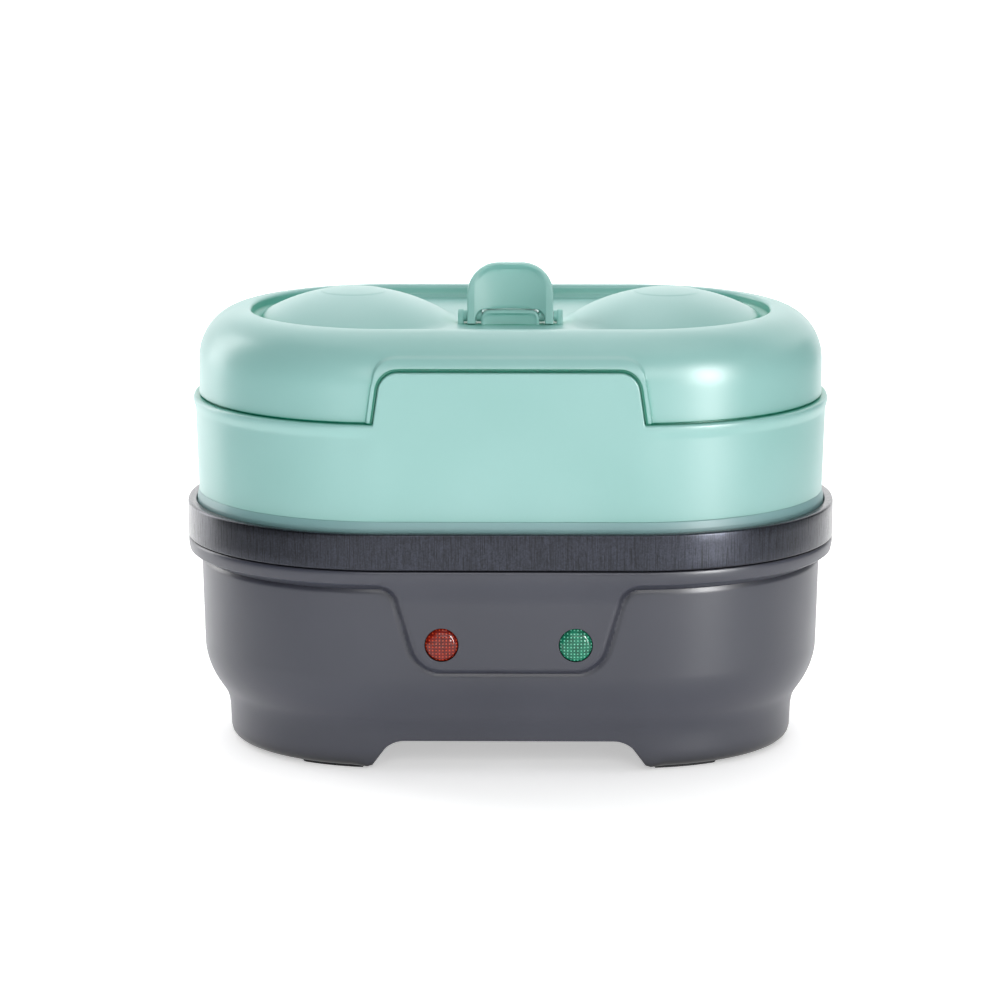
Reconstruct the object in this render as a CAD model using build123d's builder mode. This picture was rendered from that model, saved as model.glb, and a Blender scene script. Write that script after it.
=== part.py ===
from build123d import *

import os
from math import asin, atan2, cos, degrees, sin, sqrt

# Two-cup countertop steamer for egg bites, in millimetres, +Z up.
# The origin is the middle of the counter space that the closed cooker takes up.

# Overall outline: every horizontal section is the trim band's outline, stepped in by an inset.
body_width = 207.6
body_depth = 134.0
end_flat = 4.0
hinge_reach = 10.8
wall = 2.5

# Heights of the stacked parts, from the counter up
pad_gap = 1.0
foot_height = 9.0
cover_thickness = 2.4
plinth_rise = 9.6
body_height = 47.6
flange_height = 7.0
band_height = 11.5
skirt_rise = 3.4
collar_height = 45.4
lid_height = 27.4
handle_height = 19.3

# Insets of the outer faces
plinth_bottom_inset = 12.9
plinth_top_inset = 11.0
body_bottom_inset = 5.2
body_top_inset = 3.8
skirt_inset = 3.5
collar_bottom_inset = 4.1
collar_top_inset = 2.7
lip_inset = 2.2
lid_inset = 4.1

# Rounded edges
body_round = 16.0
flange_round = 3.6
lid_round = 15.5
skirt_round = 0.5

# Arches through the plinth, front and back
arch_height = 8.9
arch_half_foot = 43.6
arch_half_top = 29.4
arch_round = 8.0

# Raised panel with the two lights
apron_inset = 3.0
apron_height = 25.9
apron_half_top = 39.0
apron_half_bottom = 29.5
apron_round = 9.3
apron_edge_round = 0.8
light_spacing = 41.8
light_drop = 17.0
lens_diameter = 10.2
lens_crown = 1.5
lens_flange = 1.6
lens_flange_thickness = 1.2
lens_bore = 6.0
lens_face = 1.2
lens_seat_inset = 8.4

# Board that carries the two neon lamps
board_inset = 19.0
board_thickness = 1.6
board_height = 14.0
board_overhang = 9.0
board_post_diameter = 6.0
board_post_x = 9.0
lamp_diameter = 5.0
lamp_length = 12.0

# Trim band and the seat of the heating plate
band_wall = 3.0
band_edge_round = 0.8
lip_thickness = 1.2
band_lip_inset = 9.0
gasket_outer_inset = 9.3
gasket_inner_inset = 17.0
deck_opening_inset = 19.0

# Heating plate with its water reservoir
plate_flange_inset = 7.5
plate_flange_thickness = 1.2
pan_inset = 20.5
pan_wall = 1.5
pan_depth = 13.4
pan_floor_thickness = 2.0
pan_round = 5.0
stud_inset = 13.5
stud_diameter = 3.0
stud_drop = 5.0
nut_width = 5.5
nut_height = 2.4
fit_gap = 0.05
hole_gap = 0.3

# Heater under the plate
spreader_inset = 34.0
spreader_thickness = 4.0
element_diameter = 6.5
element_half_length = 48.0
element_half_width = 18.0
element_leg_spacing = 28.0
element_end_inset = 23.0
element_bend = 9.0
pin_diameter = 2.4
pin_length = 9.0
sleeve_diameter = 5.0
sleeve_length = 3.0

# Thermostat, thermal fuse and their clips
thermostat_diameter = 16.0
thermostat_head = 5.5
thermostat_neck_diameter = 13.0
thermostat_neck = 4.5
blade_width = 6.3
blade_thickness = 0.8
blade_length = 8.0
clip_thickness = 0.8
clip_width = 17.0
clip_foot = 8.0
clip_gap = 2.0
fuse_diameter = 4.0
fuse_length = 12.0
fuse_lead_diameter = 0.8
fuse_lead = 6.0
fuse_x = 32.0
saddle_width = 6.0
saddle_reach = 8.5
small_screw_diameter = 2.6
small_screw_length = 3.0
small_head_diameter = 5.0
small_head_height = 1.6

# Bottom cover and its screws
cover_gap = 0.3
cover_ledge_inset = 22.0
cover_screw_inset = 19.5
cover_boss_diameter = 7.0
cover_boss_height = 12.0
cover_screw_diameter = 3.0
cover_screw_length = 9.0
cover_head_diameter = 6.0
cover_head_height = 1.5

# Foot pads
pad_inset = 20.4
pad_angle = 20.0
pad_sweep = 24.0
pad_width = 6.0
pad_socket_depth = 2.0
foot_width = 9.0

# Terminal block and the cord's way in
block_width = 34.0
block_depth = 14.0
block_height = 12.0
block_inset = 33.0
block_screw_spacing = 9.5
block_screw_diameter = 4.0
block_screw_depth = 3.0
block_screw_rise = 0.6
gland_x = 28.0
gland_rise = 23.6
gland_bore = 7.2
gland_shank_diameter = 11.0
gland_flange_diameter = 16.0
gland_flange_thickness = 2.4
gland_keeper_diameter = 13.0
gland_keeper_thickness = 2.0
gland_seat_inset = 3.6
gland_inner_inset = 8.0
gland_tail = 2.0

# Wires
wire_diameter = 2.0
wire_rise = 8.0
wire_drop = 8.0
wire_loop = 10.0
wire_bend = 3.8

# Collar
collar_lip_height = 2.9
collar_edge_round = 1.0
ledge_drop = 11.4
ledge_thickness = 2.5
ledge_width = 4.0
tongue_height = 16.3
tongue_half_bottom = 42.0
tongue_half_top = 39.6
tongue_thickness = 3.0
tongue_round = 6.0
notch_gap = 0.5
border_side = 1.6
border_top = 3.9
border_inset = 3.1

# Egg tray
tray_gap = 0.7
tray_thickness = 1.0
cup_edge_inset = 12.6
cup_gap = 18.4
cup_depth = 27.0
cup_draft = 13.0
cup_round = 8.0
steam_slot_length = 16.0
steam_slot_width = 6.0
steam_slot_pitch = 26.0

# Lid
recess_inset = 20.9
recess_depth = 4.2
recess_round = 1.8
dome_diameter = 65.4
dome_height = 10.1
vent_diameter = 20.8
vent_rise = 0.4

# Hinge at the back
knuckle_diameter = 10.0
hinge_pin_diameter = 3.0
hinge_half_barrel = 18.0
hinge_half_width = 30.0
hinge_gap = 0.4
hinge_web_height = 9.0
hinge_web_drop = 14.0

# Flip-up handle
handle_width = 27.4
handle_y = -7.0
handle_front = 5.0
handle_back = 1.9
handle_tip_thickness = 3.6
handle_round = 10.0
handle_floor_gap = 0.3
handle_scoop_depth = 1.4
handle_rim = 2.0
handle_pin_diameter = 2.5
boss_width = 18.6
boss_height = 4.2
boss_front = 4.6
boss_back = 1.9
boss_round = 2.0
boss_gap = 0.6
opening_round = 1.2
ear_gap = 0.4
ear_thickness = 2.6
ear_radius = 3.0

# Levels above the counter, worked out from the heights
cover_bottom = pad_gap + foot_height
body_bottom = cover_bottom + cover_thickness
plinth_top = body_bottom + plinth_rise
flange_bottom = body_bottom + body_height
deck_top = flange_bottom + flange_height
deck_bottom = deck_top - wall
band_top = deck_top + band_height
lip_top = deck_top + lip_thickness
plate_top = lip_top + plate_flange_thickness
pan_bottom = plate_top - pan_depth
spreader_bottom = pan_bottom - spreader_thickness
skirt_top = band_top + skirt_rise
collar_top = deck_top + collar_height
ledge_top = collar_top - ledge_drop
tongue_top = collar_top + tongue_height
lid_crest = collar_top + lid_height
recess_floor = lid_crest - recess_depth
handle_top = recess_floor + handle_height
apron_bottom = flange_bottom - apron_height
light_height = flange_bottom - light_drop
gland_height = body_bottom + gland_rise
block_top = body_bottom + block_height
wire_start = block_top + block_screw_rise
wire_level = wire_start + wire_rise

# Places worked out from the sizes above
body_y = -hinge_reach / 2
half_width = body_width / 2
half_depth = body_depth / 2
corner_radius = half_depth - end_flat / 2
cup_radius = (half_width - cup_edge_inset - cup_gap / 2) / 2
cup_x = cup_radius + cup_gap / 2
block_y = half_depth - block_inset
element_end = half_depth - element_end_inset
clip_level = spreader_bottom - thermostat_head
blade_under = clip_level - thermostat_neck
clip_span = thermostat_neck_diameter / 2 + blade_length / 2 + clip_gap
clip_reach = clip_span + clip_foot
clip_screws = [
    (clip_reach - clip_foot / 2, 0),
    (clip_foot / 2 - clip_reach, 0),
    (fuse_x + saddle_reach - small_head_diameter / 2, 0),
]
collar_inner_inset = collar_top_inset + wall
tray_inset = collar_inner_inset + tray_gap
notch_depth = lid_inset + lid_round
ear_drop = handle_floor_gap + handle_back + wall / 2
ear_reach = handle_width / 2 + ear_gap + ear_thickness
hinge_y = half_depth + hinge_reach - knuckle_diameter / 2
handle_pivot = recess_floor + handle_floor_gap + handle_back
scoop_half = handle_width / 2 - handle_rim
scoop_radius = (scoop_half**2 + handle_scoop_depth**2) / (2 * handle_scoop_depth)
handle_bottom = handle_pivot - handle_back
handle_lean = handle_front + handle_back - handle_tip_thickness
scoop_plane = Plane(
    (0, body_y + handle_y - handle_front, handle_bottom),
    x_dir=(-1, 0, 0),
    z_dir=(0, handle_lean, handle_top - handle_bottom),
)
gland_place = [(-gland_x, gland_height)]
small_screw_hole = small_screw_diameter / 2 + fit_gap
board_posts = [(-board_post_x, light_height), (board_post_x, light_height)]
cover_inset = plinth_bottom_inset + wall + cover_gap
light_places = [(-light_spacing / 2, light_height), (light_spacing / 2, light_height)]


def level(height):
    """Horizontal plane at a height above the counter, centred on the body."""
    return Plane((0, body_y, height))


def front(inset):
    """Upright plane that faces the front, an inset behind the trim band's front."""
    return Plane((0, body_y - half_depth + inset, 0), x_dir=(1, 0, 0), z_dir=(0, -1, 0))


def back(inset):
    """Upright plane that faces the back, an inset inside the trim band's back."""
    return Plane((0, body_y + half_depth - inset, 0), x_dir=(-1, 0, 0), z_dir=(0, 1, 0))


def side(x):
    """Upright plane that faces right: its first axis runs from front to back."""
    return Plane((x, body_y, 0), x_dir=(0, 1, 0), z_dir=(1, 0, 0))


def outline(inset, mode=Mode.ADD):
    """Trim band's outline, stepped in all round."""
    RectangleRounded(
        body_width - 2 * inset, body_depth - 2 * inset, corner_radius - inset, mode=mode
    )


def block(bottom, bottom_inset, top, top_inset, mode=Mode.ADD):
    """Solid between two heights whose inset changes evenly from one to the other."""
    with BuildSketch(level(bottom)) as section:
        outline(bottom_inset)
    slope = degrees(atan2(top_inset - bottom_inset, top - bottom))
    extrude(section.sketch, amount=top - bottom, taper=slope, mode=mode)


def ring_points(inset):
    """Middles of the four rounded corners, and of the front and back, at an inset."""
    reach = (corner_radius - inset) / sqrt(2)
    x = half_width - corner_radius + reach
    y = half_depth - corner_radius + reach
    corners = [(x, y), (-x, y), (-x, -y), (x, -y)]
    return corners + [(0, half_depth - inset), (0, inset - half_depth)]


def discs(plane, places, radius, amount, mode=Mode.ADD):
    """Row of round posts, or holes, that stand on a plane."""
    with BuildSketch(plane) as section:
        with Locations(*places):
            Circle(radius)
    extrude(section.sketch, amount=amount, mode=mode)


def holes(plane, places, radius, depth):
    """Round holes that go down into a plane."""
    discs(plane, places, radius, -depth, mode=Mode.SUBTRACT)


def foot_arcs(height, width, amount, mode=Mode.ADD):
    """Four curved pads that follow the outline, near the ends of the two long sides."""
    reach = corner_radius - pad_inset
    with BuildSketch(level(height)) as section:
        for across in (1, -1):
            for along in (1, -1):
                centre = Plane((across * (half_width - corner_radius), along * end_flat / 2, 0))
                middle = 90 * along - across * along * pad_angle
                start, finish = middle - pad_sweep / 2, middle + pad_sweep / 2
                SlotArc(Edge.make_circle(reach, centre, start, finish), width)
    extrude(section.sketch, amount=amount, mode=mode)


def tab(plane, half_root, root, half_end, end, radius):
    """Flat upright shape with slanted sides, whose two corners at the end height are round."""
    with BuildSketch(plane) as section:
        corners = [(-half_root, root), (half_root, root), (half_end, end), (-half_end, end)]
        Polygon(*corners, align=None)
        heights = section.vertices().group_by(Axis.Y)
        fillet(heights[-1] if end > root else heights[0], radius)
    return section.sketch


def band(bottom, top, outer_inset, inner_inset, mode=Mode.ADD):
    """Upright ring between two insets."""
    with BuildSketch(level(bottom)) as section:
        outline(outer_inset)
        outline(inner_inset, mode=Mode.SUBTRACT)
    extrude(section.sketch, amount=top - bottom, mode=mode)


def cap(x, base, radius, crown, skirt, mode=Mode.ADD):
    """Slice of a ball over a short round skirt, on a vertical axis."""
    ball = (radius**2 + crown**2) / (2 * crown)
    half_turn = asin(radius / ball) / 2
    middle = (ball * sin(half_turn), base + crown - ball + ball * cos(half_turn))
    plane = Plane((x, body_y, 0), x_dir=(1, 0, 0), z_dir=(0, -1, 0))
    with BuildSketch(plane) as section:
        with BuildLine():
            Polyline((0, base + crown), (0, base - skirt), (radius, base - skirt), (radius, base))
            ThreePointArc((radius, base), middle, (0, base + crown))
        make_face()
    revolve(section.sketch, axis=Axis((x, body_y, 0), (0, 0, 1)), mode=mode)


def rod(y, z, diameter, half_length, mode=Mode.ADD):
    """Round bar, or hole, along the width."""
    with BuildSketch(side(0)) as section:
        with Locations((y, z)):
            Circle(diameter / 2)
    extrude(section.sketch, amount=half_length, both=True, mode=mode)


def save(piece, name):
    """Label a finished piece and write its file."""
    piece.part.label = name
    export_step(piece.part, f"parts/{name}.step")


os.makedirs("parts", exist_ok=True)
cover_screw_places = ring_points(cover_screw_inset)
stud_places = ring_points(stud_inset)


# Base housing: plinth, rounded body, flange and deck in one moulding
with BuildPart() as body_form:
    block(body_bottom, body_bottom_inset, flange_bottom, body_top_inset)
    fillet(body_form.edges().group_by(Axis.Z)[0], body_round)

with BuildPart() as body_hollow:
    block(body_bottom + wall, body_bottom_inset + wall, deck_bottom, body_top_inset + wall)
    fillet(body_hollow.edges().group_by(Axis.Z)[0], body_round - wall)

with BuildPart() as flange_form:
    block(flange_bottom, 0, deck_top, 0)
    fillet(flange_form.edges().group_by(Axis.Z)[0], flange_round)

with BuildPart() as apron_form:
    panel = tab(
        front(apron_inset),
        apron_half_top,
        flange_bottom,
        apron_half_bottom,
        apron_bottom,
        apron_round,
    )
    extrude(panel, amount=-wall)
    fillet(apron_form.faces().sort_by(Axis.Y)[0].edges(), apron_edge_round)

with BuildPart() as base_housing:
    block(pad_gap, plinth_bottom_inset, plinth_top, plinth_top_inset)
    add(body_form.part)
    add(flange_form.part)
    add(apron_form.part)
    discs(back(gland_seat_inset), gland_place, gland_flange_diameter / 2 + hole_gap, -wall)
    add(body_hollow.part, mode=Mode.SUBTRACT)
    block(0, plinth_bottom_inset + wall, body_bottom, plinth_bottom_inset + wall, mode=Mode.SUBTRACT)
    block(body_bottom, cover_ledge_inset, body_bottom + body_round, cover_ledge_inset, mode=Mode.SUBTRACT)
    block(deck_bottom, deck_opening_inset, deck_top, deck_opening_inset, mode=Mode.SUBTRACT)
    for face in (front(0), back(0)):
        arch = tab(face, arch_half_foot, 0, arch_half_top, arch_height, arch_round)
        extrude(arch, amount=-cover_inset, mode=Mode.SUBTRACT)
    lens_seat_depth = lens_seat_inset - body_bottom_inset
    gland_seat_depth = gland_inner_inset - body_bottom_inset
    discs(front(lens_seat_inset), light_places, lens_diameter / 2 + lens_flange, lens_seat_depth)
    discs(front(board_inset), board_posts, board_post_diameter / 2, board_inset - body_bottom_inset)
    discs(back(gland_inner_inset), gland_place, gland_keeper_diameter / 2, gland_seat_depth)
    discs(level(body_bottom), cover_screw_places, cover_boss_diameter / 2, cover_boss_height)
    holes(front(0), light_places, lens_diameter / 2 + fit_gap, lens_seat_inset)
    holes(back(0), gland_place, gland_shank_diameter / 2 + fit_gap, gland_inner_inset)
    holes(front(board_inset), board_posts, small_screw_hole, -small_screw_length)
    holes(level(body_bottom), cover_screw_places, cover_screw_diameter / 2 + fit_gap, -cover_screw_length)
    holes(level(deck_top), stud_places, stud_diameter / 2 + hole_gap, wall)
save(base_housing, "base_housing")

# Bottom cover with its four feet
with BuildPart() as bottom_cover:
    block(cover_bottom, cover_inset, body_bottom, cover_inset)
    foot_arcs(pad_gap, foot_width, cover_bottom - pad_gap)
    foot_arcs(pad_gap, pad_width + hole_gap, pad_socket_depth, mode=Mode.SUBTRACT)
    holes(level(body_bottom), cover_screw_places, cover_screw_diameter / 2 + hole_gap, cover_thickness)
    for x, y in cover_screw_places:
        with Locations(level(cover_bottom) * Location((x, y, 0))):
            Cone(
                cover_head_diameter / 2 + fit_gap,
                cover_screw_diameter / 2,
                cover_head_height + fit_gap,
                align=(Align.CENTER, Align.CENTER, Align.MIN),
                mode=Mode.SUBTRACT,
            )
save(bottom_cover, "bottom_cover")

with BuildPart() as foot_pads:
    foot_arcs(0, pad_width, pad_gap + pad_socket_depth)
save(foot_pads, "foot_pads")

with BuildPart() as bottom_screws:
    for x, y in cover_screw_places:
        with Locations(level(cover_bottom) * Location((x, y, 0))):
            Cone(
                cover_head_diameter / 2,
                cover_screw_diameter / 2,
                cover_head_height,
                align=(Align.CENTER, Align.CENTER, Align.MIN),
            )
    screw_length = cover_thickness + cover_screw_length
    discs(level(cover_bottom), cover_screw_places, cover_screw_diameter / 2, screw_length)
save(bottom_screws, "bottom_screws")

# Trim band with the lip that the heating plate clamps
with BuildPart() as rim_band:
    band(deck_top, band_top, 0, band_wall)
    fillet(rim_band.edges().group_by(Axis.Z)[-1], band_edge_round)
    band(deck_top, lip_top, band_wall / 2, band_lip_inset)
save(rim_band, "rim_band")

with BuildPart() as plate_gasket:
    band(deck_top, lip_top, gasket_outer_inset, gasket_inner_inset)
    holes(level(lip_top), stud_places, stud_diameter / 2 + hole_gap, lip_thickness)
save(plate_gasket, "plate_gasket")

# Heating plate: a flange round a shallow pan for the water
with BuildPart() as pan_form:
    block(pan_bottom, pan_inset, plate_top, pan_inset)
    fillet(pan_form.edges().group_by(Axis.Z)[0], pan_round + pan_wall)

with BuildPart() as pan_hollow:
    block(pan_bottom + pan_floor_thickness, pan_inset + pan_wall, plate_top, pan_inset + pan_wall)
    fillet(pan_hollow.edges().group_by(Axis.Z)[0], pan_round)

with BuildPart() as heating_plate:
    block(lip_top, plate_flange_inset, plate_top, plate_flange_inset)
    add(pan_form.part)
    add(pan_hollow.part, mode=Mode.SUBTRACT)
save(heating_plate, "heating_plate")

with BuildPart() as plate_studs:
    discs(level(lip_top), stud_places, stud_diameter / 2, deck_bottom - lip_top - stud_drop)
save(plate_studs, "plate_studs")

with BuildPart() as plate_nuts:
    with BuildSketch(level(deck_bottom)):
        with Locations(*stud_places):
            RegularPolygon(nut_width / 2, 6, major_radius=False)
            Circle(stud_diameter / 2 + fit_gap, mode=Mode.SUBTRACT)
    extrude(amount=-nut_height)
save(plate_nuts, "plate_nuts")

# Heater: a bent tube half sunk in an aluminium spreader
with BuildLine(level(spreader_bottom)) as element_path:
    FilletPolyline(
        (-element_leg_spacing / 2, element_end),
        (-element_leg_spacing / 2, element_half_width),
        (-element_half_length, element_half_width),
        (-element_half_length, -element_half_width),
        (element_half_length, -element_half_width),
        (element_half_length, element_half_width),
        (element_leg_spacing / 2, element_half_width),
        (element_leg_spacing / 2, element_end),
        radius=element_bend,
    )
element_start = Plane(
    (-element_leg_spacing / 2, body_y + element_end, spreader_bottom), x_dir=(1, 0, 0), z_dir=(0, -1, 0)
)
leg_ends = [(-element_leg_spacing / 2, spreader_bottom), (element_leg_spacing / 2, spreader_bottom)]
leg_plane = back(half_depth - element_end)

with BuildPart() as heating_element:
    with BuildSketch(element_start):
        Circle(element_diameter / 2)
    sweep(path=element_path.line)
save(heating_element, "heating_element")

with BuildPart() as element_groove:
    with BuildSketch(element_start):
        Circle(element_diameter / 2 + fit_gap)
    sweep(path=element_path.line)

with BuildPart() as heat_spreader:
    block(spreader_bottom, spreader_inset, pan_bottom, spreader_inset)
    add(element_groove.part, mode=Mode.SUBTRACT)
    holes(level(spreader_bottom), clip_screws, small_screw_hole, -small_screw_length)
save(heat_spreader, "heat_spreader")

with BuildPart() as element_sleeves:
    discs(leg_plane, leg_ends, sleeve_diameter / 2, sleeve_length)
    holes(leg_plane, leg_ends, pin_diameter / 2 + fit_gap, -sleeve_length)
save(element_sleeves, "element_sleeves")

with BuildPart() as element_pins:
    discs(leg_plane, leg_ends, pin_diameter / 2, pin_length)
save(element_pins, "element_pins")

# Thermostat under the middle of the spreader, held up by a hat-shaped clip
with BuildPart() as thermostat:
    discs(level(spreader_bottom), [(0, 0)], thermostat_diameter / 2, -thermostat_head)
    discs(level(clip_level), [(0, 0)], thermostat_neck_diameter / 2, -thermostat_neck)
    with BuildSketch(level(blade_under)):
        Rectangle(thermostat_neck_diameter + blade_length, blade_width)
    extrude(amount=blade_thickness)
save(thermostat, "thermostat")

# The clip's top presses on the thermostat's shoulder and its feet are screwed to the spreader.
with BuildPart() as thermostat_clip:
    with BuildSketch(front(half_depth)):
        with BuildLine():
            Polyline(
                (-clip_reach, spreader_bottom - clip_thickness),
                (-clip_span, spreader_bottom - clip_thickness),
                (-clip_span, clip_level - clip_thickness),
                (clip_span, clip_level - clip_thickness),
                (clip_span, spreader_bottom - clip_thickness),
                (clip_reach, spreader_bottom - clip_thickness),
                (clip_reach, spreader_bottom),
                (clip_span - clip_thickness, spreader_bottom),
                (clip_span - clip_thickness, clip_level),
                (clip_thickness - clip_span, clip_level),
                (clip_thickness - clip_span, spreader_bottom),
                (-clip_reach, spreader_bottom),
                close=True,
            )
        make_face()
    extrude(amount=clip_width / 2, both=True)
    holes(level(clip_level), [(0, 0)], thermostat_neck_diameter / 2 + hole_gap, clip_thickness)
    holes(level(spreader_bottom), clip_screws[:2], small_screw_diameter / 2 + hole_gap, clip_thickness)
save(thermostat_clip, "thermostat_clip")

# Thermal fuse beside it, under a saddle
with BuildPart() as thermal_fuse:
    with BuildSketch(front(half_depth)):
        with Locations((fuse_x, spreader_bottom - fuse_diameter / 2)):
            Circle(fuse_diameter / 2)
    extrude(amount=fuse_length / 2, both=True)
    with BuildSketch(front(half_depth)):
        with Locations((fuse_x, spreader_bottom - fuse_diameter / 2)):
            Circle(fuse_lead_diameter / 2)
    extrude(amount=fuse_length / 2 + fuse_lead, both=True)
save(thermal_fuse, "thermal_fuse")

with BuildPart() as fuse_saddle:
    with BuildSketch(front(half_depth)):
        with Locations((fuse_x, spreader_bottom - fuse_diameter / 2)):
            Circle(fuse_diameter / 2 + fit_gap + clip_thickness)
        with Locations((fuse_x + saddle_reach / 2, spreader_bottom - clip_thickness / 2)):
            Rectangle(saddle_reach, clip_thickness)
        with Locations((fuse_x, spreader_bottom - fuse_diameter / 2)):
            Circle(fuse_diameter / 2 + fit_gap, mode=Mode.SUBTRACT)
        with Locations((fuse_x, spreader_bottom)):
            Rectangle(fuse_diameter, fuse_diameter, align=(Align.CENTER, Align.MIN), mode=Mode.SUBTRACT)
            Rectangle(fuse_diameter, fuse_diameter / 2, align=(Align.CENTER, Align.MAX), mode=Mode.SUBTRACT)
    extrude(amount=saddle_width / 2, both=True)
    holes(level(spreader_bottom), clip_screws[2:], small_screw_diameter / 2 + hole_gap, clip_thickness)
save(fuse_saddle, "fuse_saddle")

with BuildPart() as clip_screws_set:
    clip_face = level(spreader_bottom - clip_thickness)
    discs(clip_face, clip_screws, small_screw_diameter / 2, clip_thickness + small_screw_length)
    discs(clip_face, clip_screws, small_head_diameter / 2, -small_head_height)
save(clip_screws_set, "clip_screws")

# Lights: lenses from behind the panel, neon lamps and the board that holds them
lens_back_inset = lens_seat_inset + lens_flange_thickness
lens_length = lens_back_inset - apron_inset + lens_crown
for light, name in zip(light_places, ("power_light_lens", "ready_light_lens")):
    with BuildPart() as lens:
        discs(front(lens_back_inset), [light], lens_diameter / 2, lens_length)
        fillet(lens.edges().sort_by(Axis.Y)[0], lens_crown - fit_gap)
        discs(front(lens_back_inset), [light], lens_diameter / 2 + lens_flange, lens_flange_thickness)
        holes(front(lens_back_inset), [light], lens_bore / 2, lens_crown + lens_face - lens_length)
    save(lens, name)

for light, name in zip(light_places, ("power_lamp", "ready_lamp")):
    with BuildPart() as lamp:
        discs(front(board_inset), [light], lamp_diameter / 2, lamp_length)
        fillet(lamp.edges().sort_by(Axis.Y)[0], lamp_diameter / 2 - fit_gap)
    save(lamp, name)

with BuildPart() as lamp_board:
    with BuildSketch(front(board_inset)):
        with Locations((0, light_height)):
            Rectangle(light_spacing + 2 * board_overhang, board_height)
        with Locations(*board_posts):
            Circle(small_screw_diameter / 2 + hole_gap, mode=Mode.SUBTRACT)
    extrude(amount=-board_thickness)
save(lamp_board, "lamp_board")

with BuildPart() as board_screws:
    board_back = front(board_inset + board_thickness)
    discs(board_back, board_posts, small_screw_diameter / 2, board_thickness + small_screw_length)
    discs(board_back, board_posts, small_head_diameter / 2, -small_head_height)
save(board_screws, "board_screws")

# Terminal block on the bottom cover, and the bush where the cord comes in
terminal_places = [(turn * block_screw_spacing, block_y) for turn in (-1, 0, 1)]
with BuildPart() as terminal_block:
    with BuildSketch(level(body_bottom)):
        with Locations((0, block_y)):
            Rectangle(block_width, block_depth)
    extrude(amount=block_height)
    holes(level(block_top), terminal_places, block_screw_diameter / 2 + fit_gap, block_screw_depth)
save(terminal_block, "terminal_block")

with BuildPart() as terminal_screws:
    screw_foot = level(block_top - block_screw_depth)
    discs(screw_foot, terminal_places, block_screw_diameter / 2, block_screw_depth + block_screw_rise)
save(terminal_screws, "terminal_screws")

gland_face_inset = gland_seat_inset - gland_flange_thickness
gland_length = gland_inner_inset + gland_keeper_thickness + gland_tail - gland_face_inset
with BuildPart() as cord_gland:
    discs(back(gland_seat_inset), gland_place, gland_flange_diameter / 2, gland_flange_thickness)
    discs(back(gland_face_inset), gland_place, gland_shank_diameter / 2, -gland_length)
    discs(back(gland_inner_inset), gland_place, gland_keeper_diameter / 2, -gland_keeper_thickness)
    holes(back(gland_face_inset), gland_place, gland_bore / 2, gland_length)
save(cord_gland, "cord_gland")

# Wires between the terminals, the heater, the thermostat and the lamps
blade_x = (thermostat_neck_diameter + blade_length) / 2 - wire_diameter
fuse_y = fuse_length / 2 + fuse_lead - wire_diameter
fuse_under = spreader_bottom - (fuse_diameter + fuse_lead_diameter) / 2
pin_x = element_leg_spacing / 2
pin_y = element_end + sleeve_length + (pin_length - sleeve_length) / 2
pin_under = spreader_bottom - pin_diameter / 2
board_y = board_inset + board_thickness - half_depth
wire_routes = {
    "live_wire": [
        (-block_screw_spacing, block_y, wire_start),
        (-block_screw_spacing, block_y, wire_level),
        (-block_screw_spacing, 0, wire_level),
        (-block_screw_spacing, 0, blade_under),
    ],
    "fuse_wire": [
        (blade_x, 0, blade_under),
        (blade_x, 0, blade_under - wire_drop),
        (blade_x, -fuse_y, blade_under - wire_drop),
        (fuse_x, -fuse_y, blade_under - wire_drop),
        (fuse_x, -fuse_y, fuse_under),
    ],
    "heater_wire": [
        (fuse_x, fuse_y, fuse_under),
        (fuse_x, fuse_y, fuse_under - wire_loop),
        (fuse_x, pin_y, fuse_under - wire_loop),
        (pin_x, pin_y, fuse_under - wire_loop),
        (pin_x, pin_y, pin_under),
    ],
    "neutral_wire": [
        (block_screw_spacing, block_y, wire_start),
        (block_screw_spacing, block_y, wire_level),
        (block_screw_spacing, pin_y, wire_level),
        (-pin_x, pin_y, wire_level),
        (-pin_x, pin_y, pin_under),
    ],
    "lamp_wire": [
        (0, block_y, wire_start),
        (0, block_y, wire_level),
        (0, board_y + wire_loop, wire_level),
        (0, board_y + wire_loop, light_height),
        (0, board_y, light_height),
    ],
}
for name, route in wire_routes.items():
    with BuildPart() as wire:
        with BuildLine(level(0)) as wire_path:
            FilletPolyline(*route, radius=wire_bend)
        with BuildSketch(wire_path.line ^ 0):
            Circle(wire_diameter / 2)
        sweep(path=wire_path.line)
    save(wire, name)

# Steam collar: skirt, band, rolled lip, front tongue, tray ledge and hinge ears
with BuildPart() as collar_form:
    block(lip_top, skirt_inset, skirt_top, skirt_inset)
    fillet(collar_form.edges().group_by(Axis.Z)[-1], skirt_round)
    block(lip_top, collar_bottom_inset, collar_top, collar_top_inset)

with BuildPart() as collar_lip:
    block(collar_top - collar_lip_height, lip_inset, collar_top, lip_inset)
    fillet(collar_lip.edges().group_by(Axis.Z)[-1], collar_edge_round)

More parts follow.
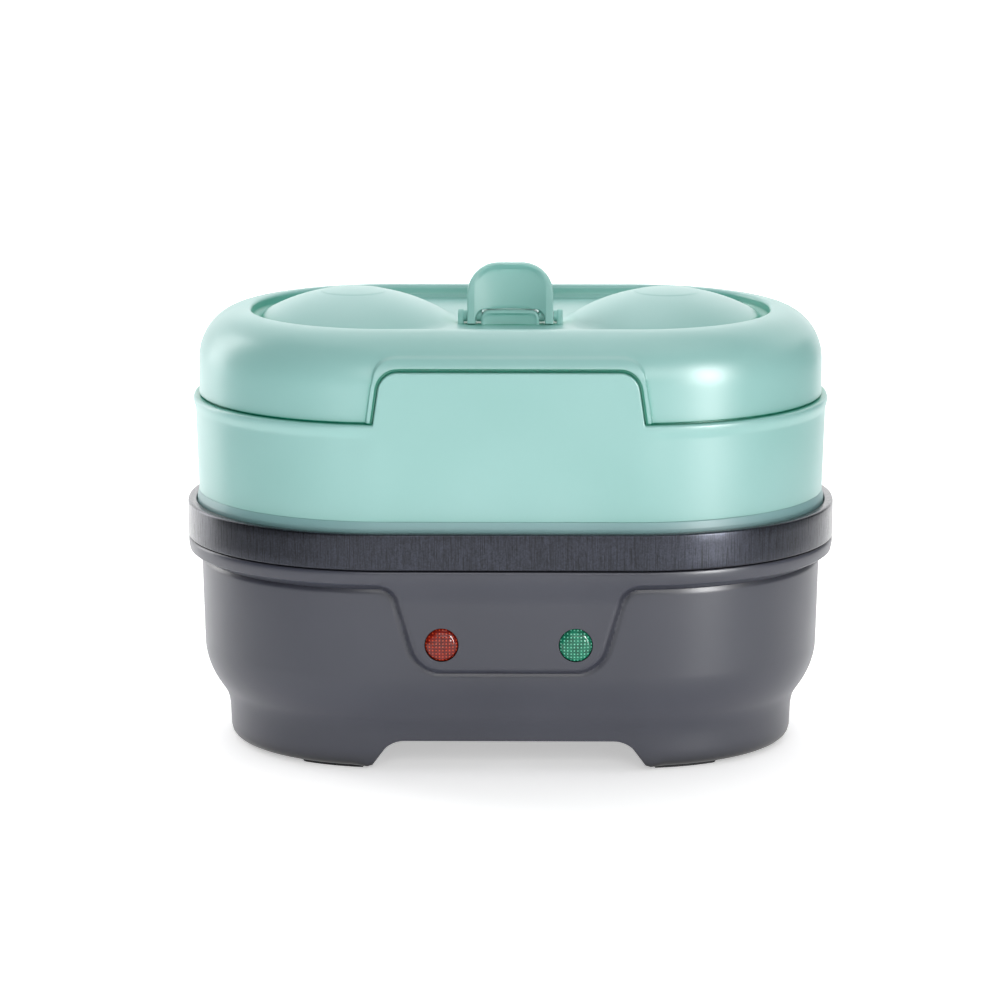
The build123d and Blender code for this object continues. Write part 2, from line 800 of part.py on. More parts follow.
with BuildPart() as steam_collar:
    add(collar_form.part)
    add(collar_lip.part)
    tongue_root = collar_top - collar_lip_height
    tongue = tab(
        front(lip_inset),
        tongue_half_bottom,
        tongue_root,
        tongue_half_top,
        tongue_top,
        tongue_round,
    )
    extrude(tongue, amount=-tongue_thickness)
    for x in (-hinge_half_width, hinge_half_barrel + hinge_gap):
        with BuildSketch(side(x)):
            Polygon(
                (half_depth - collar_inner_inset, collar_top - hinge_web_drop),
                (hinge_y, collar_top - knuckle_diameter / 2),
                (hinge_y, collar_top),
                (half_depth - collar_inner_inset, collar_top),
                align=None,
            )
            with Locations((hinge_y, collar_top)):
                Circle(knuckle_diameter / 2)
        extrude(amount=hinge_half_width - hinge_half_barrel - hinge_gap)
    block(lip_top, skirt_inset + wall, collar_top, collar_inner_inset, mode=Mode.SUBTRACT)
    ledge_inset = collar_inner_inset + ledge_width
    band(ledge_top - ledge_thickness, ledge_top, collar_inner_inset - wall / 2, ledge_inset)
    rod(hinge_y, collar_top, hinge_pin_diameter + 2 * fit_gap, hinge_half_width, mode=Mode.SUBTRACT)
save(steam_collar, "steam_collar")

with BuildPart() as hinge_pin:
    rod(hinge_y, collar_top, hinge_pin_diameter, hinge_half_width)
save(hinge_pin, "hinge_pin")

# Egg tray: a thin flange on the collar's ledge with two drafted cups
cup_places = [(-cup_x, 0), (cup_x, 0)]
tray_top = ledge_top + tray_thickness


def cups(top, radius, depth, corner):
    """Two tapered cups, each with a rounded bottom corner."""
    with BuildPart(mode=Mode.PRIVATE) as shapes:
        with BuildSketch(level(top)) as mouths:
            with Locations(*cup_places):
                Circle(radius)
        extrude(mouths.sketch, amount=-depth, taper=cup_draft)
        fillet(shapes.edges().group_by(Axis.Z)[0], corner)
    return shapes.part


cup_outside = cups(tray_top, cup_radius, cup_depth, cup_round)
cup_inside = cups(
    tray_top,
    cup_radius - tray_thickness,
    cup_depth - tray_thickness,
    cup_round - tray_thickness,
)
with BuildPart() as egg_tray:
    block(ledge_top, tray_inset, tray_top, tray_inset)
    add(cup_outside)
    add(cup_inside, mode=Mode.SUBTRACT)
    with BuildSketch(level(ledge_top)):
        with GridLocations(0, steam_slot_pitch, 1, 3):
            SlotOverall(steam_slot_length, steam_slot_width)
    extrude(amount=tray_thickness, mode=Mode.SUBTRACT)
save(egg_tray, "egg_tray")

# Lid: shell with a raised soft rim, two domes, a notch for the tongue and the handle's ears
ball_radius = (dome_diameter**2 / 4 + dome_height**2) / (2 * dome_height)
inner_dome_radius = sqrt(2 * (ball_radius - wall) * dome_height - dome_height**2)
vent_ball = ball_radius + vent_rise
vent_crown = vent_ball - sqrt(vent_ball**2 - vent_diameter**2 / 4)
vent_base = recess_floor + dome_height + vent_rise - vent_crown

with BuildPart() as lid_form:
    block(collar_top, lid_inset, lid_crest, lid_inset)
    fillet(lid_form.edges().group_by(Axis.Z)[-1], lid_round)

with BuildPart() as recess_form:
    block(recess_floor, recess_inset, lid_crest, recess_inset)
    fillet(recess_form.edges().group_by(Axis.Z)[0], recess_round)

with BuildPart() as lid_hollow:
    block(collar_top, lid_inset + wall, lid_crest - wall, lid_inset + wall)
    fillet(lid_hollow.edges().group_by(Axis.Z)[-1], lid_round - wall)
    block(recess_floor - wall, recess_inset - wall, lid_crest, recess_inset - wall, mode=Mode.SUBTRACT)
    for x, y in cup_places:
        cap(x, recess_floor - wall, inner_dome_radius, dome_height, wall)

with BuildPart() as lid_shell:
    add(lid_form.part)
    border = tab(
        front(border_inset),
        tongue_half_bottom + notch_gap + border_side,
        collar_top,
        tongue_half_top + notch_gap + border_side,
        tongue_top + notch_gap + border_top,
        tongue_round + notch_gap + border_side,
    )
    extrude(border, amount=-lid_inset)
    add(recess_form.part, mode=Mode.SUBTRACT)
    for x, y in cup_places:
        cap(x, recess_floor, dome_diameter / 2, dome_height, wall / 2)
        cap(x, vent_base, vent_diameter / 2, vent_crown, 2 * vent_rise)
    with BuildSketch(side(0)) as boss:
        boss_corner = (handle_y - boss_front, recess_floor - wall / 2)
        with Locations(boss_corner):
            Rectangle(boss_front + boss_back, boss_height + wall / 2, align=(Align.MIN, Align.MIN))
        fillet(boss.vertices().group_by(Axis.Y)[-1], boss_round)
    extrude(amount=boss_width / 2, both=True)
    for x in (-ear_reach, handle_width / 2 + ear_gap):
        with BuildSketch(side(x)):
            with Locations((handle_y, handle_pivot)):
                Circle(ear_radius)
                Rectangle(2 * ear_radius, ear_drop, align=(Align.CENTER, Align.MAX))
        extrude(amount=ear_thickness)
    with BuildSketch(side(0)):
        Polygon(
            (half_depth - lid_inset - wall, collar_top),
            (hinge_y, collar_top),
            (hinge_y, collar_top + knuckle_diameter / 2),
            (half_depth - lid_inset - wall, collar_top + hinge_web_height),
            align=None,
        )
        with Locations((hinge_y, collar_top)):
            Circle(knuckle_diameter / 2)
    extrude(amount=hinge_half_barrel, both=True)
    add(lid_hollow.part, mode=Mode.SUBTRACT)
    notch = tab(
        front(0),
        tongue_half_bottom + notch_gap,
        collar_top,
        tongue_half_top + notch_gap,
        tongue_top + notch_gap,
        tongue_round + notch_gap,
    )
    extrude(notch, amount=-notch_depth, mode=Mode.SUBTRACT)
    rod(hinge_y, collar_top, hinge_pin_diameter + 2 * fit_gap, hinge_half_barrel, mode=Mode.SUBTRACT)
    rod(handle_y, handle_pivot, handle_pin_diameter + 2 * fit_gap, ear_reach, mode=Mode.SUBTRACT)
save(lid_shell, "lid_shell")

with BuildPart() as handle_pin:
    rod(handle_y, handle_pivot, handle_pin_diameter, ear_reach)
save(handle_pin, "handle_pin")

# Handle: a tapered tab with a scooped front and an opening that straddles the lid's boss
with BuildPart() as lid_handle:
    with BuildSketch(side(0)) as tab_side:
        Polygon(
            (handle_y - handle_front, handle_bottom),
            (handle_y + handle_back, handle_bottom),
            (handle_y + handle_back, handle_top),
            (handle_y + handle_back - handle_tip_thickness, handle_top),
            align=None,
        )
        heel = (handle_y + handle_back, handle_bottom)
        fillet(tab_side.vertices().sort_by_distance(heel)[0], handle_back - fit_gap)
    extrude(amount=handle_width / 2, both=True)
    tab_front = tab(
        front(0), handle_width / 2, handle_bottom, handle_width / 2, handle_top, handle_round
    )
    extrude(tab_front, amount=-body_depth, mode=Mode.INTERSECT)
    opening = tab(
        front(0),
        boss_width / 2 + boss_gap,
        handle_bottom,
        boss_width / 2 + boss_gap,
        recess_floor + boss_height + boss_gap,
        opening_round,
    )
    extrude(opening, amount=-body_depth, mode=Mode.SUBTRACT)
    with BuildSketch(scoop_plane):
        with Locations((0, scoop_radius - handle_scoop_depth)):
            Circle(scoop_radius)
    extrude(amount=body_depth, both=True, mode=Mode.SUBTRACT)
    rod(handle_y, handle_pivot, handle_pin_diameter + 2 * fit_gap, handle_width / 2, mode=Mode.SUBTRACT)
save(lid_handle, "lid_handle")
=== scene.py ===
# %% [markdown]
# # An egg bite maker, dressed for its picture
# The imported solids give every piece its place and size. This lesson lays the visible skins over them:
# the grey base, the dark trim band, the mint collar, the lid and its handle, and the two lights.
# Lengths are written in millimetres, as on a drawing, and one helper turns them to metres.

import bmesh
import bpy
import numpy as np
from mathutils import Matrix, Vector


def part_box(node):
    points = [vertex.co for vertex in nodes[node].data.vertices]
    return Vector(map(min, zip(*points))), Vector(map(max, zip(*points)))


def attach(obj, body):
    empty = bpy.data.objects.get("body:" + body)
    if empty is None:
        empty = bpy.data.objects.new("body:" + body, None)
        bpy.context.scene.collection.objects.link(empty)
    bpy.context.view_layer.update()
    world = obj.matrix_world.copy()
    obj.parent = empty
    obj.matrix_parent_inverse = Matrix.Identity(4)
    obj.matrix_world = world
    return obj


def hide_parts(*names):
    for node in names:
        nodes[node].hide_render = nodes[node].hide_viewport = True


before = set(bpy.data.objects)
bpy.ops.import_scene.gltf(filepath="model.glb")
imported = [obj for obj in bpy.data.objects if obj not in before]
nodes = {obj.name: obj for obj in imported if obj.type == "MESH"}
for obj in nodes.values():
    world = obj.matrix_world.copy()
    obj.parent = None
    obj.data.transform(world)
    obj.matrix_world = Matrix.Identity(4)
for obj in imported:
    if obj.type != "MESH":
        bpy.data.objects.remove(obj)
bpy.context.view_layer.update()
mm = 0.001
print("pieces in the frame:", len(nodes))


# %% [markdown]
# The casings share one outline: a long rounded shape whose ends are almost half circles. Every
# section of the cooker is that outline, stepped in by some inset. So one function can carry any
# point of a flat, unrolled drawing, distance along the outline, inset and height, onto the object.

# %% Sizes read from the frame
def low_high(node):
    """Lowest and highest corner of a node, in millimetres."""
    low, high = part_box(node)
    return np.array(low) / mm, np.array(high) / mm


band_low, band_high = low_high("rim_band")
pin_low, pin_high = low_high("hinge_pin")

half_width = band_high[0]
half_depth = (band_high[1] - band_low[1]) / 2
body_y = (band_high[1] + band_low[1]) / 2
deck_top = band_low[2]
band_top = band_high[2]
hinge_y, hinge_z = ((pin_low + pin_high) / 2)[1:]
collar_top = hinge_z
tongue_top = low_high("steam_collar")[1][2]
foot_bottom = low_high("base_housing")[0][2]
print("half width", round(half_width, 2), "half depth", round(half_depth, 2))

# %% Wrap a flat drawing round the outline
end_flat = 4.0
corner_radius = half_depth - end_flat / 2
corner_x = half_width - corner_radius
corner_y = end_flat / 2
drawing_radius = corner_radius - 3.0
quarter = drawing_radius * np.pi / 2
milestones = np.cumsum([0, corner_x, quarter, end_flat, quarter, corner_x])
half_loop = milestones[-1]


def wrap(along, inset, height):
    """Carry a flat drawing onto the outline.

    `along` is the way round from the middle of the front, positive to the right. It gives a turn
    from 0 (front) to half a circle (back) and a centre on a small rectangle. The point is that
    centre plus (corner radius - inset) times the outward direction of the turn.
    """
    way = np.abs(along)
    side = np.where(np.asarray(along) < 0, -1.0, 1.0)
    turn = np.interp(way, milestones, np.array([0, 0, 0.5, 0.5, 1, 1]) * np.pi)
    centre_x = np.interp(way, milestones, [0, corner_x, corner_x, corner_x, corner_x, 0])
    centre_y = np.interp(way, milestones, [-corner_y, -corner_y, -corner_y, corner_y, corner_y, corner_y])
    reach = corner_radius - inset
    x = side * (centre_x + reach * np.sin(turn))
    y = body_y + centre_y - reach * np.cos(turn)
    return np.stack(np.broadcast_arrays(x, y, height), axis=-1)


print("way round the outline:", round(2 * half_loop), "mm")


# %% [markdown]
# A surface is a grid of points. Rows run along a profile, columns run round the object. The grid
# becomes four-sided faces by pairing each point with the next one in both directions, so no loop
# over points is needed. Where a row or a column closes on itself, the doubled points are merged.

# %% From grids to a mesh
def grid_faces(rows, columns, closed_rows, closed_columns):
    """Corner numbers of the faces of a rows x columns grid, which may close on itself."""
    row = np.arange(rows if closed_rows else rows - 1)[:, None]
    column = np.arange(columns if closed_columns else columns - 1)[None, :]
    next_row, next_column = (row + 1) % rows, (column + 1) % columns
    corners = [
        row * columns + column,
        row * columns + next_column,
        next_row * columns + next_column,
        next_row * columns + column,
    ]
    return np.stack(np.broadcast_arrays(*corners), axis=-1).reshape(-1, 4)


def surface(points, closed_rows=False, closed_columns=True):
    """Points (rows, columns, 3) in millimetres, as a list of corners and faces."""
    rows, columns = points.shape[:2]
    return points.reshape(-1, 3), grid_faces(rows, columns, closed_rows, closed_columns)


def new_mesh(name, points, faces):
    """Mesh from corners in metres and faces."""
    mesh = bpy.data.meshes.new(name)
    mesh.from_pydata(np.asarray(points).tolist(), [], np.asarray(faces).tolist())
    return mesh


def new_object(name, data):
    """Object at the origin that carries a mesh, a light or a camera."""
    item = bpy.data.objects.new(name, data)
    bpy.context.scene.collection.objects.link(item)
    return item


def make_piece(name, surfaces, body, material, sharp=32.0):
    """Join surfaces into one object at the origin, merge doubled points and shade it smoothly."""
    offsets = np.cumsum([0] + [len(points) for points, faces in surfaces])
    corners = np.concatenate([points for points, faces in surfaces]) * mm
    faces = np.concatenate([faces + start for (points, faces), start in zip(surfaces, offsets)])
    mesh = new_mesh(name, corners, faces)
    work = bmesh.new()
    work.from_mesh(mesh)
    bmesh.ops.remove_doubles(work, verts=work.verts, dist=2e-6)
    bmesh.ops.dissolve_degenerate(work, edges=work.edges, dist=1e-7)
    work.to_mesh(mesh)
    work.free()
    mesh.shade_smooth()
    mesh.set_sharp_from_angle(angle=np.radians(sharp))
    mesh.materials.append(material)
    piece = new_object(name, mesh)
    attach(piece, body)
    print(name, "has", sum(len(face.vertices) - 2 for face in mesh.polygons), "triangles")
    return piece


# %% [markdown]
# A moulding is drawn by its profile: straight runs joined by round corners, as (inset, height)
# pairs. The same tool draws the notch in the lid and the arches under the base, as (along, height).

# %% Draw with rounded corners
def rounded(points, radii, steps=8):
    """Polyline through points whose inner corners are arcs with the given radii.

    At each corner the arc starts and ends radius * tan(half the turn) away from it, and its points
    follow the circle that touches both runs.
    """
    points = np.asarray(points, float)
    pieces = [points[:1]]
    for before, corner, after, radius in zip(points[:-2], points[1:-1], points[2:], radii):
        inward = (corner - before) / np.linalg.norm(corner - before)
        outward = (after - corner) / np.linalg.norm(after - corner)
        turn = np.arctan2(inward[0] * outward[1] - inward[1] * outward[0], inward @ outward)
        if radius == 0 or abs(turn) < 1e-6:
            pieces.append(corner[None])
            continue
        side = np.sign(turn) * np.array([-inward[1], inward[0]])
        start = corner - inward * radius * np.tan(abs(turn) / 2)
        sweep = np.linspace(0, abs(turn), steps + 1)[:, None]
        pieces.append(start + radius * (np.sin(sweep) * inward + (1 - np.cos(sweep)) * side))
    return np.concatenate(pieces + [points[-1:]])


def refine(points, step):
    """The same line with points added on long runs, none further apart than step."""
    lengths = np.linalg.norm(np.diff(points, axis=0), axis=1)
    way = np.concatenate([[0], np.cumsum(lengths)])
    counts = np.maximum(1, np.ceil(lengths / step)).astype(int)
    stops = [np.linspace(a, b, n, endpoint=False) for a, b, n in zip(way[:-1], way[1:], counts)]
    stops = np.concatenate(stops + [way[-1:]])
    return np.stack([np.interp(stops, way, points[:, k]) for k in range(2)], axis=-1)


def way_along(points):
    """Distance from the first point to each point of a line."""
    return np.concatenate([[0], np.cumsum(np.linalg.norm(np.diff(points, axis=0), axis=1))])


def turned(profile, columns):
    """Sweep a closed (inset, height) profile round the outline, at the given ways along it."""
    return surface(wrap(columns[None, :], profile[:, :1], profile[:, 1:]), closed_rows=True)


def smooth_step(low, high, value):
    """0 below low, 1 above high and an S-shaped rise between them."""
    t = np.clip((value - low) / (high - low), 0, 1)
    return t * t * (3 - 2 * t)


def soft_edge(radius, distance):
    """How far a rounded edge draws back: r - root of (r^2 - (r - d)^2), and 0 once d passes r."""
    return radius - np.sqrt(radius**2 - np.clip(radius - distance, 0, radius) ** 2)


def ring_columns(step):
    """Evenly spaced ways round the whole outline, starting at the middle of the back."""
    return np.linspace(-half_loop, half_loop, int(2 * half_loop / step), endpoint=False)


# %% [markdown]
# ## Finishes
# Every material starts from what the real one is. Colours are written as on a screen, in sRGB hex,
# and one function turns them to the linear values that light is worked out in. One more function
# adds a node with its settings and links, and all the materials are built from it.

# %% Colour and node helpers
def linear(hex_colour):
    """sRGB hex to linear red, green, blue and an alpha of 1."""
    parts = np.array([int(hex_colour[k : k + 2], 16) for k in (0, 2, 4)]) / 255
    parts = np.where(parts <= 0.04045, parts / 12.92, ((parts + 0.055) / 1.055) ** 2.4)
    return (*parts.tolist(), 1.0)


def add_node(tree, kind, settings=None, inputs=None, links=None):
    """Add one node, set its properties and sockets, and link them to (node, output name) pairs."""
    node = tree.nodes.new(kind)
    for key, value in (settings or {}).items():
        setattr(node, key, value)
    for key, value in (inputs or {}).items():
        node.inputs[key].default_value = value
    for key, (source, output) in (links or {}).items():
        tree.links.new(source.outputs[output], node.inputs[key])
    return node


def new_material(name, shader):
    """Empty material with one Principled shader, whose plain sockets are set directly."""
    material = bpy.data.materials.new(name)
    material.use_nodes = True
    tree = material.node_tree
    tree.nodes.clear()
    surface_shader = add_node(tree, "ShaderNodeBsdfPrincipled", inputs=shader)
    add_node(tree, "ShaderNodeOutputMaterial", links={"Surface": (surface_shader, "BSDF")})
    place = add_node(tree, "ShaderNodeTexCoord")
    return material, tree, surface_shader, place


def grain(tree, place, size, detail=3.0, stretch=(1, 1, 1)):
    """Noise whose lumps are about `size` millimetres across, stretched along an axis if asked."""
    scale = tuple(1 / (size * mm * factor) for factor in stretch)
    links = {"Vector": (place, "Object")}
    mapping = add_node(tree, "ShaderNodeMapping", inputs={"Scale": scale}, links=links)
    inputs = {"Scale": 1.0, "Detail": detail, "Roughness": 0.55}
    return add_node(tree, "ShaderNodeTexNoise", inputs=inputs, links={"Vector": (mapping, "Vector")})


def two_tone(tree, source, dark, light, low=0.35, high=0.65, output="Fac"):
    """Colour ramp from one hex colour to another, over a range of the source's value."""
    ramp = add_node(tree, "ShaderNodeValToRGB", links={"Fac": (source, output)})
    for stop, position, colour in zip(ramp.color_ramp.elements, (low, high), (dark, light)):
        stop.position = position
        stop.color = linear(colour)
    return ramp


def remap(tree, source, output, low, high, low_out=0.0, high_out=1.0, interpolation="LINEAR"):
    """Stretch a value from the range low to high onto the range low_out to high_out."""
    inputs = {"From Min": low, "From Max": high, "To Min": low_out, "To Max": high_out}
    return add_node(
        tree,
        "ShaderNodeMapRange",
        settings={"interpolation_type": interpolation},
        inputs=inputs,
        links={"Value": (source, output)},
    )


def mix_colours(tree, share, first, second):
    """Mix two colours, each given as a node or as hex, by a share from 0 (first) to 1 (second)."""
    mix = add_node(
        tree, "ShaderNodeMix", settings={"data_type": "RGBA"}, links={"Factor": (share, "Result")}
    )
    for socket, colour in (("A", first), ("B", second)):
        if isinstance(colour, str):
            mix.inputs[socket].default_value = linear(colour)
        else:
            tree.links.new(colour.outputs["Color"], mix.inputs[socket])
    return mix


def vary(tree, shader, socket, source, low, high):
    """Let a shader socket follow a noise between two values."""
    span = remap(tree, source, "Fac", 0.3, 0.7, low, high)
    tree.links.new(span.outputs["Result"], shader.inputs[socket])


def relief(tree, shader, source, depth, strength=1.0):
    """Fine surface relief of a depth in millimetres."""
    inputs = {"Distance": depth * mm, "Strength": strength}
    bump = add_node(tree, "ShaderNodeBump", inputs=inputs, links={"Height": (source, "Fac")})
    tree.links.new(bump.outputs["Normal"], shader.inputs["Normal"])


# %% [markdown]
# The collar, lid and handle are moulded polypropylene, dyed through, and the mould's fine spark
# texture makes it satin. Soft patches of slightly different gloss, a few centimetres wide, come
# from how the plastic flowed and cooled. Narrow gaps get painted shade: the colour turns deeper
# where short rays find walls close by. The thin handle and its seat have no painted shade, and
# their colour is a lighter copy of the mint, painted light.

# %% Moulded mint polypropylene
def paint_gap_shade(tree, colour, deep, reach):
    """Paint shade into narrow gaps: turn a colour towards a deeper one where walls stand close.

    Short rays tell how open a point is, from 0 (shut in) to 1. The painted shade colour is full at
    0.3 or less, and gone at 0.92 or more.
    """
    openness = add_node(tree, "ShaderNodeAmbientOcclusion", inputs={"Distance": reach * mm})
    return mix_colours(tree, remap(tree, openness, "AO", 0.3, 0.92), deep, colour)


drift_size = 45
gloss_patch_size = 28


def moulded_plastic(
    name, dark, light, roughness, texture_size, texture_depth, shader=None, deep=None, reach=9.0
):
    """Satin moulded plastic: slow colour drift, slow gloss drift and a fine spark texture.

    Sizes and reach are in millimetres. With `deep`, a hex colour, narrow gaps get it as painted shade.
    """
    settings = {"IOR": 1.49, "Roughness": roughness, **(shader or {})}
    material, tree, surface_shader, place = new_material(name, settings)
    colour = two_tone(tree, grain(tree, place, drift_size, detail=1.0), dark, light)
    if deep:
        colour = paint_gap_shade(tree, colour, deep, reach)
    tree.links.new(colour.outputs["Result" if deep else "Color"], surface_shader.inputs["Base Color"])
    patches = grain(tree, place, gloss_patch_size, 2.0)
    vary(tree, surface_shader, "Roughness", patches, roughness - 0.02, roughness + 0.03)
    relief(tree, surface_shader, grain(tree, place, texture_size, 2.0), texture_depth)
    return material


def specular(level):
    """Shader setting for how strongly the plastic's skin mirrors light."""
    return {"Specular IOR Level": level}


# Its last colour, 17A488, is painted shade, mixed in where walls stand close.
mint = moulded_plastic(
    "mint polypropylene, satin moulded", "91C5BF", "98CAC5", 0.34, 0.5, 0.004, specular(0.8), "17A488"
)
# A lighter copy of the mint, painted light, for the handle and its seat; it has no painted shade.
mint_painted_lighter = moulded_plastic(
    "mint polypropylene, thin satin parts", "9BD0C8", "A2D5CE", 0.44, 0.5, 0.004, specular(0.4)
)
# The skirt's darker, bluer colour is a painted reflection of the dark band below it.
mint_skirt_painted_reflection = moulded_plastic(
    "mint polypropylene, polished skirt", "7FA9AA", "86B0B1", 0.42, 3.0, 0.002, specular(0.5)
)
print("mint plastics made")

# %% [markdown]
# The base is grey ABS with a satin spark texture, a little coarser than the mint parts.

# %% Moulded grey and black plastics, rubber
# Its last colour, 121317, is painted shade, mixed in where walls stand close.
grey = moulded_plastic(
    "grey ABS, satin moulded", "373945", "3C3E4A", 0.34, 0.45, 0.006, specular(0.65), "121317"
)
black = moulded_plastic("black nylon, moulded", "17181A", "1D1E20", 0.5, 0.5, 0.006)
rubber = moulded_plastic("dark rubber, pressed", "202124", "28292C", 0.75, 0.8, 0.01)
silicone = moulded_plastic("red silicone, pressed", "9A2A20", "A93428", 0.5, 1.0, 0.006)
nylon = moulded_plastic("off-white nylon, moulded", "D6D2C4", "E0DCCF", 0.42, 0.8, 0.006)
phenolic = moulded_plastic("dark phenolic, pressed", "2A211D", "352A25", 0.4, 0.8, 0.008)
ceramic = moulded_plastic("white ceramic, fired", "E6E3DA", "EFEDE6", 0.3, 0.8, 0.006)
board = moulded_plastic("green glass laminate", "1F5A38", "27683F", 0.35, 0.9, 0.01)

# %% [markdown]
# The trim band is brushed metal with a dark finish. The brush ran up and down, so its scratches
# are long and upright, about a tenth of a millimetre wide. They are drawn three tenths wide here,
# because finer ones would not show. Small flakes in the finish, about half a millimetre, sparkle.

# %% Dark brushed band
def brushed_band():
    """Dark metal: upright scratches change its gloss, tone and relief, and flakes change its tone."""
    settings = {"Metallic": 0.9, "Roughness": 0.3, "Coat Weight": 0.42, "Coat Roughness": 0.28}
    material, tree, shader, place = new_material("dark brushed metal band", settings)
    scratches = grain(tree, place, 0.3, detail=4.0, stretch=(1, 1, 28))
    flakes = grain(tree, place, 0.55, detail=2.0)
    both = add_node(
        tree,
        "ShaderNodeMix",
        settings={"data_type": "FLOAT"},
        inputs={"Factor": 0.5},
        links={"A": (scratches, "Fac"), "B": (flakes, "Fac")},
    )
    colour = two_tone(tree, both, "15171C", "383B47", 0.36, 0.66, output="Result")
    tree.links.new(colour.outputs["Color"], shader.inputs["Base Color"])
    vary(tree, shader, "Roughness", scratches, 0.24, 0.36)
    relief(tree, shader, scratches, 0.006)
    return material


band_metal = brushed_band()
print("band finish made")


# %% [markdown]
# Metals inside are bare aluminium, zinc-plated steel and a nickel-alloy heater tube. Non-stick
# coats are sprayed: dark, half gloss, with fine speckle.

# %% Metals and coats
def plain_metal(name, dark, light, roughness, scratch=(1, 1, 1), size=0.6):
    """Metal with a fine rolled or turned texture."""
    material, tree, shader, place = new_material(name, {"Metallic": 1.0, "Roughness": roughness})
    texture = grain(tree, place, size, 4.0, scratch)
    colour = two_tone(tree, texture, dark, light)
    tree.links.new(colour.outputs["Color"], shader.inputs["Base Color"])
    vary(tree, shader, "Roughness", texture, roughness - 0.06, roughness + 0.08)
    relief(tree, shader, texture, 0.006)
    return material


def sprayed_coat(name, dark, light, roughness):
    """Non-stick coat: sprayed speckle about a millimetre wide over an orange-peel relief."""
    settings = {"Roughness": roughness, "IOR": 1.45, "Coat Weight": 0.25, "Coat Roughness": 0.2}
    material, tree, shader, place = new_material(name, settings)
    colour = two_tone(tree, grain(tree, place, 1.1, 4.0), dark, light, 0.45, 0.7)
    tree.links.new(colour.outputs["Color"], shader.inputs["Base Color"])
    relief(tree, shader, grain(tree, place, 1.6, 1.0), 0.02)
    return material


aluminium = plain_metal("bare rolled aluminium", "C9CBCD", "DADBDC", 0.32, (24, 1, 1))
zinc_steel = plain_metal("zinc-plated steel", "B4B7BA", "CED1D3", 0.28)
sheath = plain_metal("drawn nickel-alloy sheath", "8A8C86", "A5A69F", 0.4)
brass = plain_metal("plated brass", "C9B27A", "DCC892", 0.3)
plate_coat = sprayed_coat("dark non-stick coat", "2B2C2E", "3B3C3F", 0.38)
tray_coat = sprayed_coat("grey non-stick coat", "55575B", "65676C", 0.4)
print("metals and coats made")


# %% [markdown]
# The two lights are moulded acrylic, dyed through: a smooth dome with a field of small pyramids in
# its face. The pyramids are real geometry. The dye is a deep colour under a hard gloss. Each
# pyramid's middle is painted pale, a painted glint, and the dye carries a faint painted glow.

# %% Dyed acrylic and wire covers
pyramid_pitch = 1.05


def painted_facet_glints(tree, place):
    """Painted glint, a pale spot in the middle of each little pyramid: full within 0.06 of a pitch,
    gone at 0.28.

    The distance is measured in x and z from the middle of the cell that the point lies in.
    """
    kind = "ShaderNodeVectorMath"
    scaled = add_node(
        tree,
        kind,
        settings={"operation": "SCALE"},
        inputs={"Scale": 1 / (pyramid_pitch * mm)},
        links={"Vector": (place, "Object")},
    )
    cell = add_node(tree, kind, settings={"operation": "FRACTION"}, links={"Vector": (scaled, "Vector")})
    flat = add_node(
        tree,
        kind,
        settings={"operation": "MULTIPLY_ADD"},
        inputs={"Vector_001": (1, 0, 1), "Vector_002": (-0.5, 0, -0.5)},
        links={"Vector": (cell, "Vector")},
    )
    away = add_node(tree, kind, settings={"operation": "LENGTH"}, links={"Vector": (flat, "Vector")})
    return remap(tree, away, "Value", 0.28, 0.06)


def dyed_acrylic(name, dark, light, painted_glow, with_painted_glints=True):
    """Glossy dyed acrylic with a faint painted glow and, if asked, painted glints as pale dots."""
    settings = {
        "Roughness": 0.2,
        "IOR": 1.49,
        "Specular IOR Level": 0.25,
        "Coat Weight": 0.4,
        "Coat Roughness": 0.06,
        "Emission Color": linear(painted_glow),
        "Emission Strength": 0.02,
    }
    material, tree, shader, place = new_material(name, settings)
    colour = two_tone(tree, grain(tree, place, 2.2, 2.0), dark, light)
    if with_painted_glints:
        colour = mix_colours(tree, painted_facet_glints(tree, place), colour, painted_glow)
    tree.links.new(colour.outputs["Result" if with_painted_glints else "Color"], shader.inputs["Base Color"])
    return material


# Both lenses get a faint painted glow and painted glints at their pyramids.
red_acrylic = dyed_acrylic("red dyed acrylic", "540805", "780F08", "EC5630")
green_acrylic = dyed_acrylic("green dyed acrylic", "035740", "08785A", "84F0CC")
lamp_glass = dyed_acrylic("soda glass bulb", "C8CDD0", "E2E6E8", "FFD9B0", with_painted_glints=False)
brown_wire = moulded_plastic("brown silicone cover", "5A3421", "673D28", 0.45, 0.8, 0.006)
blue_wire = moulded_plastic("blue silicone cover", "24558F", "2C61A0", 0.45, 0.8, 0.006)
white_wire = moulded_plastic("white silicone cover", "DADAD6", "E6E6E3", 0.45, 0.8, 0.006)

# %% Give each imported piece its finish
finishes = {
    grey: ["base_housing"],
    band_metal: ["rim_band"],
    mint: ["steam_collar", "lid_shell", "lid_handle"],
    black: ["bottom_cover", "cord_gland"],
    nylon: ["terminal_block"],
    phenolic: ["thermostat"],
    rubber: ["foot_pads"],
    silicone: ["plate_gasket"],
    ceramic: ["element_sleeves"],
    board: ["lamp_board"],
    plate_coat: ["heating_plate"],
    tray_coat: ["egg_tray"],
    aluminium: ["heat_spreader"],
    sheath: ["heating_element"],
    brass: ["thermal_fuse", "terminal_screws"],
    lamp_glass: ["power_lamp", "ready_lamp"],
    red_acrylic: ["power_light_lens"],
    green_acrylic: ["ready_light_lens"],
    brown_wire: ["live_wire"],
    blue_wire: ["neutral_wire"],
    white_wire: ["fuse_wire", "heater_wire", "lamp_wire"],
}
finish_of = {name: material for material, names in finishes.items() for name in names}
for name, node in nodes.items():
    node.data.materials.clear()
    node.data.materials.append(finish_of.get(name, zinc_steel))
